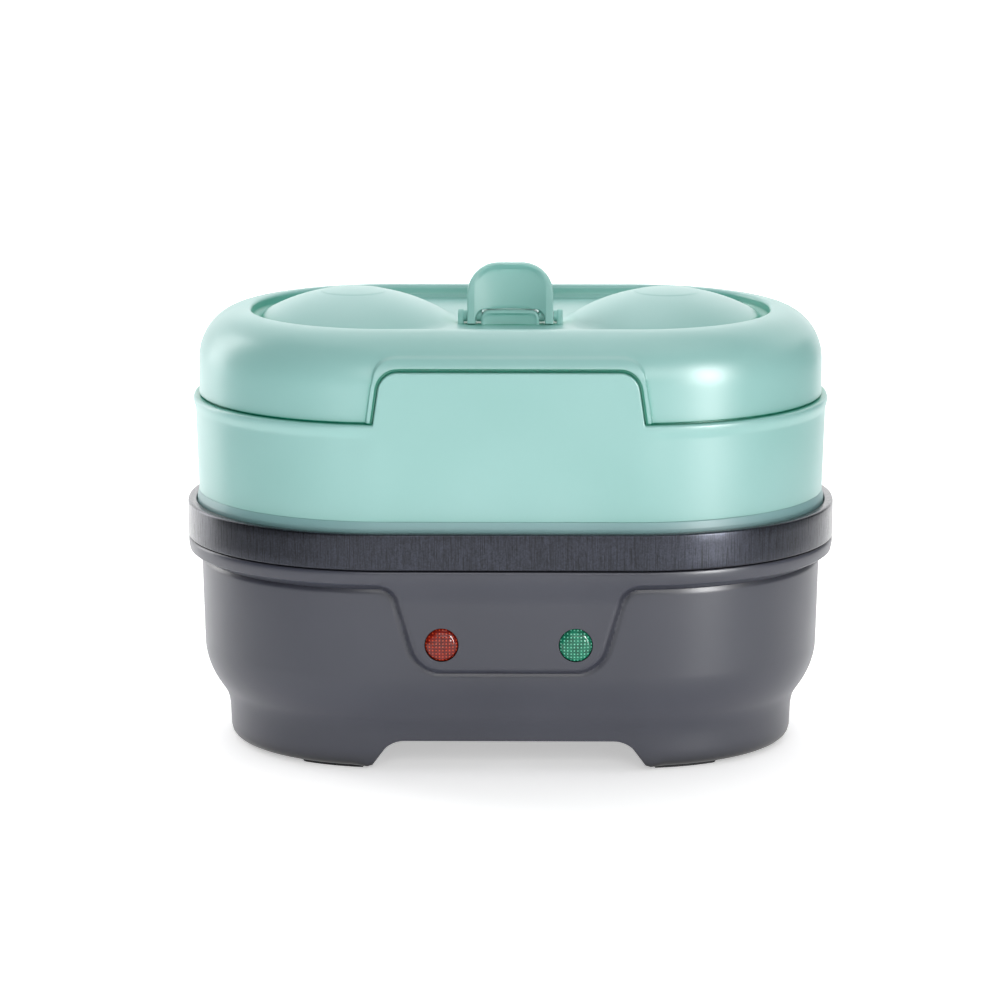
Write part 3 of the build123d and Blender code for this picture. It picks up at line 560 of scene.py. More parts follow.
print("zinc-plated steel on", sorted(set(nodes) - set(finish_of)))


# %% [markdown]
# ## The base
# The base is one grey moulding: a narrow plinth, a rounded belly, a raised panel for the lights and
# a flange that carries the trim band. Its section is one closed profile, so it is swept round the
# outline, and the plinth's lower edge is lifted where the arches are.

# %% The base's profile and arches
wall = 2.5
deck_inset = 19.0
belly_low_inset = 5.4
belly_high_inset = 4.6
belly_turn = 33.0
belly_round = 22.0
flange_line = 61.4
plinth_inset = 13.2
plinth_top_inset = 12.4
arch_half_foot = 44.5
arch_half_top = 36.9
arch_top = 9.5
arch_round = 9.0
arch_foot_round = 2.5
cover_level = 12.4


def belly_inset(height):
    """Inset of the belly: an even lean above, and a quarter of a large circle below.

    Below the turn the inset grows by R - sqrt(R^2 - h^2), where h is the drop under the turn.
    """
    drop = np.clip(belly_turn - height, 0, belly_round * 0.99)
    lean = np.interp(height, [belly_turn, flange_line], [belly_low_inset, belly_high_inset])
    return lean + belly_round - np.sqrt(belly_round**2 - drop**2)


crease_drop = np.sqrt(belly_round**2 - (belly_round - (plinth_top_inset - belly_low_inset)) ** 2)
plinth_top = belly_turn - crease_drop
print("the crease between belly and plinth is at", round(plinth_top, 1), "mm")


def arch_line(along):
    """Height of the plinth's lower edge: up the slanted sides of an arch, over it and down again."""
    points = [(-half_loop, foot_bottom), (-arch_half_foot, foot_bottom), (-arch_half_top, arch_top)]
    points += [(-x, z) for x, z in points[::-1]]
    line = rounded(points, [arch_foot_round, arch_round, arch_round, arch_foot_round], 10)
    front_arch = np.interp(along, line[:, 0], line[:, 1])
    back_arch = np.interp(half_loop - np.abs(along), line[:, 0], line[:, 1])
    return np.maximum(front_arch, back_arch)


# %% [markdown]
# The light panel is not a separate plate. The flange that carries the trim band dips down in front
# and forms the panel, so both are one raised region with one soft edge. Its outline is a line with
# rounded corners, and how far a point lies inside it decides how far the surface is raised. A
# shallow groove runs along the foot of that edge, and the crease over the plinth is soft too.

# %% The raised region: flange and light panel
panel_bottom = 34.4
panel_half_top = 36.0
panel_half_bottom = 28.2
panel_top_round = 6.6
panel_round = 10.0
panel_reach = 80
flange_blend = (55.0, 65.5)
panel_corners = [
    (panel_reach, flange_line),
    (panel_half_top, flange_line),
    (panel_half_bottom, panel_bottom),
]
panel_outline = rounded(
    [(-x, z) for x, z in panel_corners] + panel_corners[::-1],
    [panel_top_round, panel_round, panel_round, panel_top_round],
    12,
)
raised_soft = 1.2
groove_depth = 0.4
groove_width = 0.7
crease_offset = 0.5
crease_soft = 2.8
panel_inset = 2.5
flange_inset = 0.15


def nearest_distance(points, line):
    """Distance from each point to the nearest stretch of a line."""
    start, end = line[:-1], line[1:]
    stretch = end - start
    share = np.sum((points[..., None, :] - start) * stretch, axis=-1) / np.sum(stretch**2, axis=-1)
    nearest = start + np.clip(share, 0, 1)[..., None] * stretch
    return np.min(np.linalg.norm(points[..., None, :] - nearest, axis=-1), axis=-1)


def soft_smaller(a, b, softness):
    """Smaller of two values with a soft corner: half of (a + b - root of ((a - b)^2 + k^2))."""
    return 0.5 * (a + b - np.sqrt((a - b) ** 2 + softness**2))


def creased_inset(height):
    """Inset of the belly above and the plinth's leaning face below, with a soft crease between."""
    share = (height - foot_bottom) / (plinth_top - foot_bottom)
    plinth_face = plinth_inset + (plinth_top_inset - plinth_inset) * share
    return soft_smaller(belly_inset(height), plinth_face + crease_offset, crease_soft)


def skin_inset(along, height):
    """Inset of the base's face: belly outside the raised region, flange and panel inside it."""
    along, height = np.broadcast_arrays(along, height)
    half = panel_outline[panel_outline[:, 0] >= 0]
    panel_half = np.interp(height, half[:, 1], half[:, 0])
    inside = (height > flange_line) | ((np.abs(along) < panel_half) & (height > panel_bottom))
    flat = np.stack([np.clip(along, 5 - panel_reach, panel_reach - 5), height], axis=-1)
    depth = np.where(inside, 1, -1) * nearest_distance(flat, panel_outline)
    raised = smooth_step(-raised_soft, raised_soft, depth)
    face = panel_inset + (flange_inset - panel_inset) * smooth_step(*flange_blend, height)
    groove = groove_depth * np.exp(-(((depth + raised_soft) / groove_width) ** 2))
    return (creased_inset(height) + groove) * (1 - raised) + face * raised


plinth_edge = 3.2
arch_edge = 0.8
top_round = 0.8
cover_seat_inset = belly_low_inset + 16
foot_inner_inset = plinth_inset + wall + 1.2
deck_level = deck_top - 0.15


def base_surface():
    """Closed skin of the base: outside up, over the deck, and down inside to the plinth's edge."""
    fine = np.linspace(-44, 44, 161)
    columns = ring_columns(2.0)
    columns = np.concatenate([columns[columns < -44.5], fine, columns[columns > 44.5]])
    foot = arch_line(columns)
    rise = np.array([0, 0.01, 0.03, 0.07, 0.12, 0.2, 0.35, 0.5, 0.65, 0.78, 0.9, 1.0])[:, None]
    plinth = foot + rise * (plinth_top - foot)
    from_middle = np.minimum(abs(columns), half_loop - abs(columns))
    outside_arch = smooth_step(arch_half_foot, arch_half_foot + 8, from_middle)
    edge = arch_edge + (plinth_edge - arch_edge) * outside_arch
    plinth_insets = creased_inset(plinth) + soft_edge(edge, plinth - foot)
    spans = [(plinth_top, 31.5, 16), (31.5, 39, 14), (39, 52, 14), (52, flange_blend[1], 24)]
    heights = np.concatenate([np.linspace(low, high, count)[1:] for low, high, count in spans])[:, None]
    belly = skin_inset(columns[None, :], heights)
    turn = np.linspace(0, np.pi / 2, 6)[1:, None]
    top_heights = deck_level - top_round + top_round * np.sin(turn)
    top_insets = flange_inset + top_round * (1 - np.cos(turn))
    inner = [
        (deck_inset, deck_level),
        (deck_inset, deck_level - wall),
        (belly_high_inset + wall, deck_level - wall),
        (belly_low_inset + wall, belly_turn),
        (cover_seat_inset, cover_level + wall),
        (cover_seat_inset + 0.5, cover_level),
        (foot_inner_inset, cover_level),
    ]
    inner_line = refine(rounded(inner, [0.2, 0.5, 6.0, 6.0, 0.3], 4), 6)
    rows = [plinth, heights, top_heights, inner_line[:, 1:], foot[None, :]]
    insets = [plinth_insets, belly, top_insets, inner_line[:, :1], np.full((1, 1), foot_inner_inset)]
    rows, insets = (
        np.concatenate([np.broadcast_to(part, (len(part), len(columns))) for part in parts])
        for parts in (rows, insets)
    )
    return surface(wrap(columns[None, :], insets, rows), closed_rows=True)


base_shell = make_piece("base_shell", [base_surface()], "base", grey)
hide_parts("base_housing")

# %% [markdown]
# The lights sit in two round holes. A hole is cut with a Boolean modifier, because a grid of
# squares can't follow a circle. The cutter is a tube worked out the same way, then thrown away.

# %% Cut the two light holes
lens_low, lens_high = low_high("power_light_lens")
light_x = (lens_low[0] + lens_high[0]) / 2
light_z = (lens_low[2] + lens_high[2]) / 2
lens_front = lens_low[1]
lens_radius = 5.1
hole_gap = 0.22
hole_radius = lens_radius + hole_gap


def disc_grid(centre_x, centre_z, rings, steps=96):
    """Rings (radius, depth) about an axis that runs from front to back, as a grid of points."""
    angle = np.linspace(0, 2 * np.pi, steps, endpoint=False)
    radius, depth = np.array(rings, float).T[:, :, None]
    x = centre_x + radius * np.cos(angle)
    z = centre_z + radius * np.sin(angle)
    return np.stack([x, np.broadcast_to(depth, x.shape), z], axis=-1)


def cut(piece, cutter_surface):
    """Take a closed surface away from a piece and keep the result as its mesh."""
    mesh = new_mesh("cutter", cutter_surface[0] * mm, cutter_surface[1])
    work = bmesh.new()
    work.from_mesh(mesh)
    bmesh.ops.remove_doubles(work, verts=work.verts, dist=1e-7)
    bmesh.ops.recalc_face_normals(work, faces=work.faces)
    work.to_mesh(mesh)
    work.free()
    cutter = new_object("cutter", mesh)
    modifier = piece.modifiers.new("hole", "BOOLEAN")
    modifier.operation = "DIFFERENCE"
    modifier.solver = "EXACT"
    modifier.object = cutter
    graph = bpy.context.evaluated_depsgraph_get()
    result = bpy.data.meshes.new_from_object(piece.evaluated_get(graph))
    piece.modifiers.clear()
    piece.data = result
    piece.data.set_sharp_from_angle(angle=np.radians(32))
    bpy.data.objects.remove(cutter)


tube_front, tube_back = lens_front - 2, lens_front + 12
tube = [(0, tube_front), (hole_radius, tube_front), (hole_radius, tube_back), (0, tube_back)]
for x in (light_x, -light_x):
    cut(base_shell, surface(disc_grid(x, light_z, tube)))
print("base has", len(base_shell.data.polygons), "faces after the holes are cut")

# %% [markdown]
# The four feet under the bottom cover end short of the arches, so an arch is open from front to
# back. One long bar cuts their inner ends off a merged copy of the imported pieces.

# %% Trim the feet at the arches
cover_underside = 9.98
bar_half_foot = 47.5
bar_half_top = 39.5
bar_reach = 90.0
bar_bottom = -2.0


def prism_grid(outline, front, back):
    """Closed bar along y whose section is the outline: rows middle, edge, edge, middle."""
    middle = np.mean(outline, axis=0)
    rows = [(0, front), (1, front), (1, back), (0, back)]
    return np.stack([np.insert(middle + share * (outline - middle), 1, y, axis=1) for share, y in rows])


def trimmed_copy(node, name, material):
    """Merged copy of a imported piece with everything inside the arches' bar taken away."""
    work = bmesh.new()
    work.from_mesh(nodes[node].data)
    bmesh.ops.remove_doubles(work, verts=work.verts, dist=1e-6)
    mesh = bpy.data.meshes.new(name)
    work.to_mesh(mesh)
    work.free()
    piece = new_object(name, mesh)
    right = [(bar_half_foot, bar_bottom), (bar_half_top, cover_underside)]
    bar = np.array([(-bar_half_foot, bar_bottom), *right, (-bar_half_top, cover_underside)], float)
    cut(piece, surface(prism_grid(bar, -bar_reach, bar_reach)))
    piece.data.materials.clear()
    piece.data.materials.append(material)
    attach(piece, "base")
    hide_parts(node)


trimmed_copy("bottom_cover", "cover_and_feet", black)
trimmed_copy("foot_pads", "foot_soles", rubber)
print("feet end at the arches")

# %% [markdown]
# ## The trim band
# A plain upright ring, rolled from strip, with softened edges that catch a thin line of light. It
# carries a flat lip inside, which the heating plate clamps.

# %% Trim band
band_wall = 3.0
band_lip_inset = 9.0
band_lip = 1.2
band_seam = 1.5


def band_surface():
    """Closed profile of the band: outside up, soft crest, down inside, over the lip and back under."""
    profile = [
        (band_seam, deck_top),
        (0.0, deck_top),
        (0.0, band_top),
        (band_wall, band_top),
        (band_wall, deck_top + band_lip),
        (band_lip_inset, deck_top + band_lip),
        (band_lip_inset, deck_top),
        (band_seam, deck_top),
    ]
    line = rounded(profile, [0.55, 0.7, 0.6, 0.3, 0.3, 0.3], 6)[:-1]
    return turned(refine(line, 3.0), ring_columns(1.6))


trim_band = make_piece("trim_band", [band_surface()], "base", band_metal)
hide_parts("rim_band")


# %% [markdown]
# ## The collar
# The collar's top edge runs level round the cooker and rises at the front into a tongue, which
# keys into the lid. A skin is easiest to make when its first rows follow that edge: each row is
# the edge moved inwards by a small distance. After a few rows the columns fan out and run straight
# down. The rounding of the edge then depends only on the row, and no corner of it looks stepped.

# %% The edge line, and rows that follow it
tongue_half_foot = 42.0
tongue_half_top = 39.6
tongue_round = 6.0
coarse_step = 2.4
fine_step = 0.8
seam_step = 0.25
seam_reach = 4.1
past_foot = 14


def on_level(along):
    """Points at the level of the collar's top for ways along the outline."""
    return np.stack([along, np.full(len(along), collar_top)], axis=-1)


def edge_line(half_foot, half_top, top, foot_round, top_round):
    """The level edge with its raised front: (along, height) points from back round to back.

    With a sharp foot, the level edge just outside it gets closer points, for the clean corner.
    """
    level_end = half_foot + past_foot
    corners = [(0, top), (half_top, top), (half_foot, collar_top), (level_end, collar_top)]
    raised = refine(rounded(corners, [top_round, foot_round], 8), fine_step)
    if foot_round == 0:
        dense = on_level(half_foot + np.arange(seam_step, seam_reach, seam_step))
        outside = raised[raised[:, 0] > half_foot + seam_reach + 0.1]
        raised = raised[: len(raised) - np.sum(raised[:, 0] > half_foot + 1e-6)]
        raised = np.concatenate([raised, dense, outside])
    level = np.linspace(level_end, half_loop, int((half_loop - level_end) / coarse_step))[1:]
    half = np.concatenate([raised, on_level(level)])
    return np.concatenate([half[::-1] * [-1, 1], half[1:-1]])


def unit(vectors):
    """Vectors of the same direction and length 1."""
    return vectors / np.linalg.norm(vectors, axis=-1, keepdims=True)


def edge_directions(line, turn_sign):
    """Unit vectors square to the edge, to its left (turn_sign 1) or to its right (-1)."""
    tangent = unit(np.gradient(line, axis=0))
    return turn_sign * np.stack([-tangent[:, 1], tangent[:, 0]], axis=-1)


def along_raised(line, half_foot):
    """Share of the way along the raised front, 0 at its left foot and 1 at its right foot."""
    way = way_along(line)
    left, right = (
        way[np.argmin(np.hypot(line[:, 0] - foot, line[:, 1] - collar_top))]
        for foot in (-half_foot, half_foot)
    )
    return (way - left) / (right - left)


def fan(start, end, count):
    """Evenly spaced rows from one line to another, without the first."""
    share = (np.arange(1, count + 1) / count)[:, None, None]
    return start + share * (end - start)


# %% [markdown]
# Below the edge the collar's face leans out a little towards the top, and a soft lip swells at the
# seam. Under the tongue the swelling is drawn out over the whole height, so that the face is even.

# %% Collar skin
collar_bottom = 68.2
skirt_top = 81.9
face_inset_bottom = 4.1
face_inset_top = 2.7
lip_inset = 2.2
lip_low = collar_top - 4.6
lip_high = collar_top - 1.4
lip_edge = 0.9
tongue_edge = 0.45
inner_inset = 5.2
belt_drop = 7.0
edge_offsets = np.array([0, 0.04, 0.14, 0.3, 0.5, 0.75, 1.1, 1.7])


def face_inset(along, height):
    """Inset of the collar's face: an even lean, less the swelling of the lip."""
    lean = np.interp(height, [collar_bottom, collar_top], [face_inset_bottom, face_inset_top])
    in_front = 1 - smooth_step(40.0, 50.0, np.abs(along))
    lip = smooth_step(lip_low, lip_high, height)
    even = smooth_step(skirt_top, collar_top, height)
    return lean - (lean - lip_inset) * (in_front * even + (1 - in_front) * lip)


def collar_surface():
    """Closed skin: outside from the skirt up to the edge, over it, and down the inside."""
    line = edge_line(tongue_half_foot, tongue_half_top, tongue_top, 0.8, tongue_round)
    share = along_raised(line, tongue_half_foot)
    raised = (share > 0) & (share < 1)
    rows = line + edge_offsets[:, None, None] * edge_directions(line, -1)
    belt = line[:, 0].copy()
    first, last = np.flatnonzero(raised)[[0, -1]]
    front = slice(first, last + 1)
    belt[front] = np.interp(share[front], share[[first, last]], line[[first, last], 0])
    belt_line, bottom_line = (
        np.stack([belt, np.full(len(belt), level)], axis=-1)
        for level in (collar_top - belt_drop, skirt_top)
    )
    rows = np.concatenate([rows, fan(rows[-1], belt_line, 12), fan(belt_line, bottom_line, 10)])
    rounding = np.zeros(rows.shape[:2])
    rounding[: len(edge_offsets)] = soft_edge(np.where(raised, tongue_edge, lip_edge), edge_offsets[:, None])
    along, height = rows[..., 0], rows[..., 1]
    outside = wrap(along, face_inset(along, height) + rounding, height)
    inside = wrap(along, inner_inset, height)
    return surface(np.concatenate([outside[::-1], inside]), closed_rows=True)


ledge_top = 101.0
ledge_thickness = 2.5
ledge_width = 4.0
ledge_seam = 8.0


def ledge_surface():
    """Closed profile of the ledge inside, which the tray's rim rests on."""
    outer, inner = inner_inset - 0.4, inner_inset + ledge_width
    low = ledge_top - ledge_thickness
    corners = [(outer, low), (outer, ledge_top), (inner, ledge_top), (inner, low)]
    corners = [(ledge_seam, low), *corners, (ledge_seam, low)]
    return turned(rounded(corners, [0.2, 0.2, 0.4, 0.4], 4)[:-1], ring_columns(3.0))


# %% [markdown]
# The hinge's knuckles are lugs: a round eye on the pin's axis with a web that runs to the wall.
# Seen from the axis, the outline of a lug is a distance for each angle, so it is worked out by
# casting rays from the axis to the outline's straight sides and taking the nearest hit.

# %% Lugs with an eye
def ray_lengths(angles, corners):
    """Distance from the origin to a convex outline in each direction: the nearest side that is hit."""
    corners = np.asarray(corners, float)
    sides = np.roll(corners, -1, axis=0) - corners
    normals = np.stack([sides[:, 1], -sides[:, 0]], axis=-1)
    reach = np.sum(normals * corners, axis=1)
    ahead = normals @ np.stack([np.cos(angles), np.sin(angles)])
    return np.min(np.where(ahead > 1e-9, reach[:, None] / np.maximum(ahead, 1e-9), np.inf), axis=0)


def lug_surface(axis_y, axis_z, eye, round_radius, corners, x_low, x_high, bevel=0.4):
    """Closed lug about an axis that runs left to right: eye, face, soft edge, rim and back again.

    Its outline is the larger of a circle and a web. The web's corners are (y, z) from the axis,
    counterclockwise. The rim's edges are quarter circles of the bevel's radius.
    """
    corners = np.asarray(corners, float)
    angle = np.linspace(0, 2 * np.pi, 96, endpoint=False)
    angle = np.unique(np.concatenate([angle, np.arctan2(corners[:, 1], corners[:, 0]) % (2 * np.pi)]))
    outline = np.maximum(round_radius, ray_lengths(angle, corners))
    soft = np.linspace(0, np.pi / 2, 5)
    middle = np.linspace(x_low + bevel, x_high - bevel, 7)[1:-1]
    x = np.concatenate([[x_low], x_low + bevel * (1 - np.cos(soft)), middle])
    x = np.concatenate([x, (x_low + x_high) - x[: 1 + len(soft)][::-1]])
    back = bevel * (1 - np.sin(soft))
    back = np.concatenate([back, np.zeros(len(middle)), back[::-1]])
    rim = np.maximum(outline[None] - back[:, None], eye)
    hole = np.full((1, len(angle)), eye)
    radius = np.concatenate([hole, rim, hole])
    y = axis_y + radius * np.cos(angle)
    z = axis_z + radius * np.sin(angle)
    points = np.stack([np.broadcast_to(x[:, None], y.shape), y, z], axis=-1)
    return surface(points[::-1], closed_rows=True)


knuckle_radius = 5.0
pin_bore = 1.55
barrel_half = 18.0
ear_start = 18.4
ear_end = 30.0


def collar_ear(x_low, x_high):
    """Ear of the collar: the eye with a web that hangs down the wall."""
    web = [(2, -3), (2, 0.5), (-11, -0.5), (-11, -14)]
    return lug_surface(hinge_y, hinge_z, pin_bore, knuckle_radius, web, x_low, x_high)


collar_parts = [collar_surface(), ledge_surface()]
collar_parts += [collar_ear(ear_start, ear_end), collar_ear(-ear_end, -ear_start)]
collar_skin = make_piece("collar_shell", collar_parts, "collar", mint)
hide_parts("steam_collar")


# %% [markdown]
# The collar carries a polished skirt, which stands just above the trim band and hides the join. Its
# colour, darker and bluer than the mint, is a painted reflection of the dark band.

# %% Skirt
skirt_inset = 3.15
skirt_back = inner_inset + 0.8
skirt_rim = skirt_top + 0.2
skirt_corners = [
    (skirt_back, collar_bottom),
    (skirt_inset, collar_bottom),
    (skirt_inset, 79.5),
    (3.67, skirt_top),
    (4.6, skirt_rim),
    (skirt_back, skirt_rim),
    (skirt_back, collar_bottom),
]
skirt_line = rounded(skirt_corners, [0.4, 1.5, 0.6, 0.2, 0.2], 6)[:-1]
make_piece("collar_skirt", [turned(skirt_line, ring_columns(2.0))], "collar", mint_skirt_painted_reflection)


# %% [markdown]
# ## The lid
# The lid is a deep cover with a soft shoulder and a raised rim round a sunk top. Its front is cut
# out where the collar's tongue keys in, and a raised strip follows that notch. The rows of its skin
# follow the notch first, at growing distances, so the strip has an even width and clean edges.

# %% Sizes of the lid
lid_inset = 4.1
lid_crest = 139.8
shoulder = 15.5
recess_inset = 20.9
recess_floor = 135.6
recess_round = 1.8
lid_wall = 2.5
notch_half_foot = 42.5
notch_half_top = 40.1
notch_top = tongue_top + 0.5
notch_round = 6.5
gap_width = 0.45
gap_depth = 1.1
strip_side = 1.9
strip_top = 3.9
strip_proud = 1.0
seam_edge = 0.35
lap_width = 1.3
lap_fade = (110.0, 130.0)
lap_inset = lid_inset + gap_depth + 0.4

outer_line = rounded(
    [
        (lid_inset, collar_top),
        (lid_inset, lid_crest),
        (recess_inset, lid_crest),
        (recess_inset, recess_floor),
        (recess_inset + 4, recess_floor),
    ],
    [shoulder, 1.2, recess_round],
    48,
)[:-1]
outer_way = way_along(outer_line)
crest_way = outer_way[np.argmax(outer_line[:, 1] > lid_crest - 1e-6)]
inner_line = rounded(
    [
        (lid_inset + lid_wall, collar_top),
        (lid_inset + lid_wall, lid_crest - lid_wall),
        (recess_inset - lid_wall, lid_crest - lid_wall),
        (recess_inset - lid_wall, recess_floor - lid_wall),
    ],
    [11.0, 0.6],
    24,
)
inner_way = way_along(inner_line)
inner_crest = inner_way[np.argmax(inner_line[:, 1] > lid_crest - lid_wall - 1e-6)]
print("lid's profile is", round(outer_way[-1], 1), "mm long")


# %% Rows that follow the notch
def mitred_directions(line, seam_fade=12.0, side_fade=9.0):
    """Directions into the lid: the edge's normal, turned to the mitre near the notch's feet.

    At a foot the edge turns by some angle. Moving the edge inwards by d shifts the corner back by
    d * tan(half the angle) on both sides, and that shift fades out linearly away from the corner.
    """
    rise = np.array([notch_half_foot - notch_half_top, notch_top - collar_top])
    mitre = np.tan(np.arctan2(rise[1], rise[0]) / 2)
    directions = edge_directions(line, 1)
    side = unit(rise)
    on_seam = (line[:, 1] < collar_top + 1e-6) & (np.abs(line[:, 0]) >= notch_half_foot - 1e-6)
    for mirror in (1, -1):
        corner = np.array([-notch_half_foot * mirror, collar_top])
        away = np.linalg.norm(line - corner, axis=1)
        same_side = line[:, 0] * corner[0] > 0
        seam_part = same_side & on_seam & (away < seam_fade)
        side_part = same_side & ~on_seam & (away < side_fade)
        seam_shift = -mirror * mitre * (1 - away / seam_fade)
        directions[seam_part] = np.stack([seam_shift[seam_part], np.ones(seam_part.sum())], axis=-1)
        normal = np.array([-side[1] * mirror, side[0]])
        side_shift = mitre * (1 - away / side_fade)
        directions[side_part] = normal + side_shift[side_part, None] * side * [mirror, 1]
    return directions


near_offsets = np.array([0, gap_width, gap_width, gap_width + 0.05, gap_width + 0.15, gap_width + 0.35])
near_drops = np.array([gap_depth, gap_depth, seam_edge, 0.17, 0.06, 0.0])
strip_shares = np.array([0.3, 0.5, 0.7, 0.82, 0.9, 1.0, 1.1, 1.18, 1.4])
foot_clear = 5
belt_end = 110


def strip_width(line, raised):
    """Width of the strip beside each edge point: narrow at the notch's sides, wider over its top."""
    upward = np.clip(edge_directions(line, 1)[:, 1], 0, 1)
    from_foot = np.hypot(np.abs(line[:, 0]) - notch_half_foot, line[:, 1] - collar_top)
    upward = upward * (from_foot > foot_clear)
    return strip_side + (strip_top - strip_side) * smooth_step(0.3, 0.95, upward) * raised


def belt_columns(line):
    """Evenly fanned ways along the outline for the columns above the strip."""
    path = way_along(line)
    path = path - path[np.argmin(np.abs(line[:, 0]))]
    top_end = np.abs(path[np.argmax(line[:, 1] > notch_top - 1e-6)])
    far = np.abs(path)[np.argmin(np.abs(line[:, 0] - belt_end))]
    stops = [0, top_end + 6, far, path[-1] + 9]
    belt = np.interp(np.abs(path), stops, [0, 41, belt_end, half_loop])
    belt = np.sign(path) * np.where(np.abs(path) > far, np.abs(line[:, 0]), belt)
    belt[0] = -half_loop
    return belt


def lid_rows():
    """The edge, then rows outside it as (along, way up the profile, extra inset), and the belt."""
    line = edge_line(notch_half_foot, notch_half_top, notch_top, 0.0, notch_round)
    raised = line[:, 1] > collar_top + 1e-6
    width = strip_width(line, raised)
    offsets = np.repeat(near_offsets[:, None], len(line), axis=1)
    offsets = np.concatenate([offsets, gap_width + strip_shares[:, None] * (width - gap_width)])
    extra = np.concatenate([near_drops, np.zeros(len(strip_shares))])[:, None]
    strip = np.concatenate([np.ones(len(near_offsets)), 1 - smooth_step(0.84, 1.16, strip_shares)])
    rows = line + offsets[..., None] * mitred_directions(line)
    side = unit(np.array([notch_half_top - notch_half_foot, notch_top - collar_top]))
    from_foot = np.abs(rows) - [notch_half_foot, collar_top]
    from_side = from_foot[..., 0] * side[1] - from_foot[..., 1] * side[0]
    at_seam = 1 - smooth_step(strip_side - 0.3, strip_side + 0.3, from_side)
    extra = extra - strip_proud * np.where(raised, strip[:, None], at_seam)
    climb = outer_way <= crest_way
    way = np.interp(rows[..., 1], outer_line[climb, 1], outer_way[climb])
    return line, rows[..., 0], way, extra, belt_columns(line)


# %% [markdown]
# Above those rows the skin is swept to the crest, and then over the rim into the sunk top. The
# inside is a second skin, two and a half millimetres in. Between the two, in front, a narrow lap
# reaches below the seam and closes the gap to the collar.

# %% Lid skin, outside and inside
def spread(start_along, start_way, end_along, end_way, count):
    """Rows between two lines given as (along, way)."""
    share = (np.arange(1, count + 1) / count)[:, None]
    along = start_along + share * (end_along - start_along)
    return along, start_way + share * (end_way - start_way)


def on_profile(along, way, profile, profile_way, extra=0.0):
    """Points of the wrapped skin for ways measured along a profile."""
    inset = np.interp(way, profile_way, profile[:, 0]) + extra
    return wrap(along, inset, np.interp(way, profile_way, profile[:, 1]))


def rim_rows(belt, profile, ways, crest, every):
    """Rows over the rim: every so many points of the profile past its crest, and the last."""
    stops = ways[ways > crest][::every]
    stops = np.append(stops[:-1], ways[-1])
    return on_profile(belt[None], stops[:, None], profile, ways)


line, along_rows, way_rows, extra_rows, belt = lid_rows()
outer_points = on_profile(along_rows, way_rows, outer_line, outer_way, extra_rows)
climb = spread(along_rows[-1], way_rows[-1], belt, np.full(len(belt), crest_way), 18)
climb_points = on_profile(*climb, outer_line, outer_way)
rim_points = rim_rows(belt, outer_line, outer_way, crest_way, 6)

inner_start = np.interp(line[:, 1], inner_line[:, 1], inner_way)
inner_climb = spread(line[:, 0], inner_start, belt, np.full(len(belt), inner_crest), 14)
inner_rim_points = rim_rows(belt, inner_line, inner_way, inner_crest, 5)
inner_points = np.concatenate([on_profile(*inner_climb, inner_line, inner_way), inner_rim_points])

front_half = 1 - smooth_step(*lap_fade, np.abs(line[:, 0]))
lap = line - lap_width * front_half[:, None] * edge_directions(line, 1)
lap_rows = [
    wrap(lap[:, 0], lid_inset + lid_wall, lap[:, 1]),
    wrap(lap[:, 0], lap_inset, lap[:, 1]),
    wrap(line[:, 0], lap_inset, line[:, 1]),
]
lid_grid = np.concatenate([inner_points[::-1], np.array(lap_rows), outer_points, climb_points, rim_points])
print("lid skin grid:", lid_grid.shape[:2])


# %% [markdown]
# The sunk top holds two low domes, each with a faint round plate where the steam vent sits. Each
# half is a fan of rays from its dome's middle to the rim, so the domes are made of clean circles.

# %% Sunk top with its domes
dome_x = 50.2
dome_radius = 32.7
dome_height = 10.1
dome_soft = 0.05
vent_rise = 0.14
vent_edge = (10.05, 10.75)
vent_rings = [11.2, 10.62, 10.5, 10.4, 10.3, 10.18, 9.5]
first_circle = 29
dome_circles = np.array([27, 24.5, 22, 19.5, 17, 14.5, 12.5, *vent_rings, 8, 6, 4, 2, 0])


def sunk_half(rim, floor, radius, height, vent):
    """Right half of the sunk top: rays from the dome's middle to the rim and to the middle line.

    The dome is a cap of a ball, and where it meets the floor the larger of the two is taken softly:
    half of (cap + root of (cap squared + a small number)).
    """
    first = np.argmin(np.abs(rim[1:, 0])) + 1
    edge = np.concatenate([rim[first:, :2], rim[:1, :2]])
    middle = np.linspace(edge[-1, 1], edge[0, 1], 44)[1:-1]
    edge = np.concatenate([edge, np.stack([np.zeros(len(middle)), middle], axis=-1)])
    centre = np.array([dome_x, body_y])
    ray = edge - centre
    reach = np.linalg.norm(ray, axis=1)
    outer = first_circle + (reach - first_circle) * (np.linspace(1, 0, 12)[:, None] ** 1.6)
    rho = np.concatenate([outer, np.repeat(dome_circles[:, None], len(reach), axis=1)])
    ball = (radius**2 + height**2) / (2 * height)
    cap = np.sqrt(ball**2 - np.minimum(rho, ball * 0.98) ** 2) - (ball - height)
    soft = 0.5 * (cap + np.sqrt(cap**2 + dome_soft)) * smooth_step(0.0, 3.0, reach - rho)
    z = floor + soft + vent * (1 - smooth_step(*vent_edge, rho))
    points = centre + rho[..., None] * (ray / reach[:, None])
    return np.concatenate([points, z[..., None]], axis=-1)


def both_halves(half, upward):
    """A half and its mirror image, turned to face up or down."""
    mirror = half[:, ::-1] * [-1, 1, 1]
    if upward:
        return [surface(half), surface(mirror)]
    return [surface(half[::-1]), surface(mirror[::-1])]


top_half = sunk_half(rim_points[-1], recess_floor, dome_radius, dome_height, vent_rise)
under_half = sunk_half(inner_points[-1], recess_floor - lid_wall, dome_radius - 1.5, dome_height, 0.0)
print("sunk top grid, half:", top_half.shape[:2])


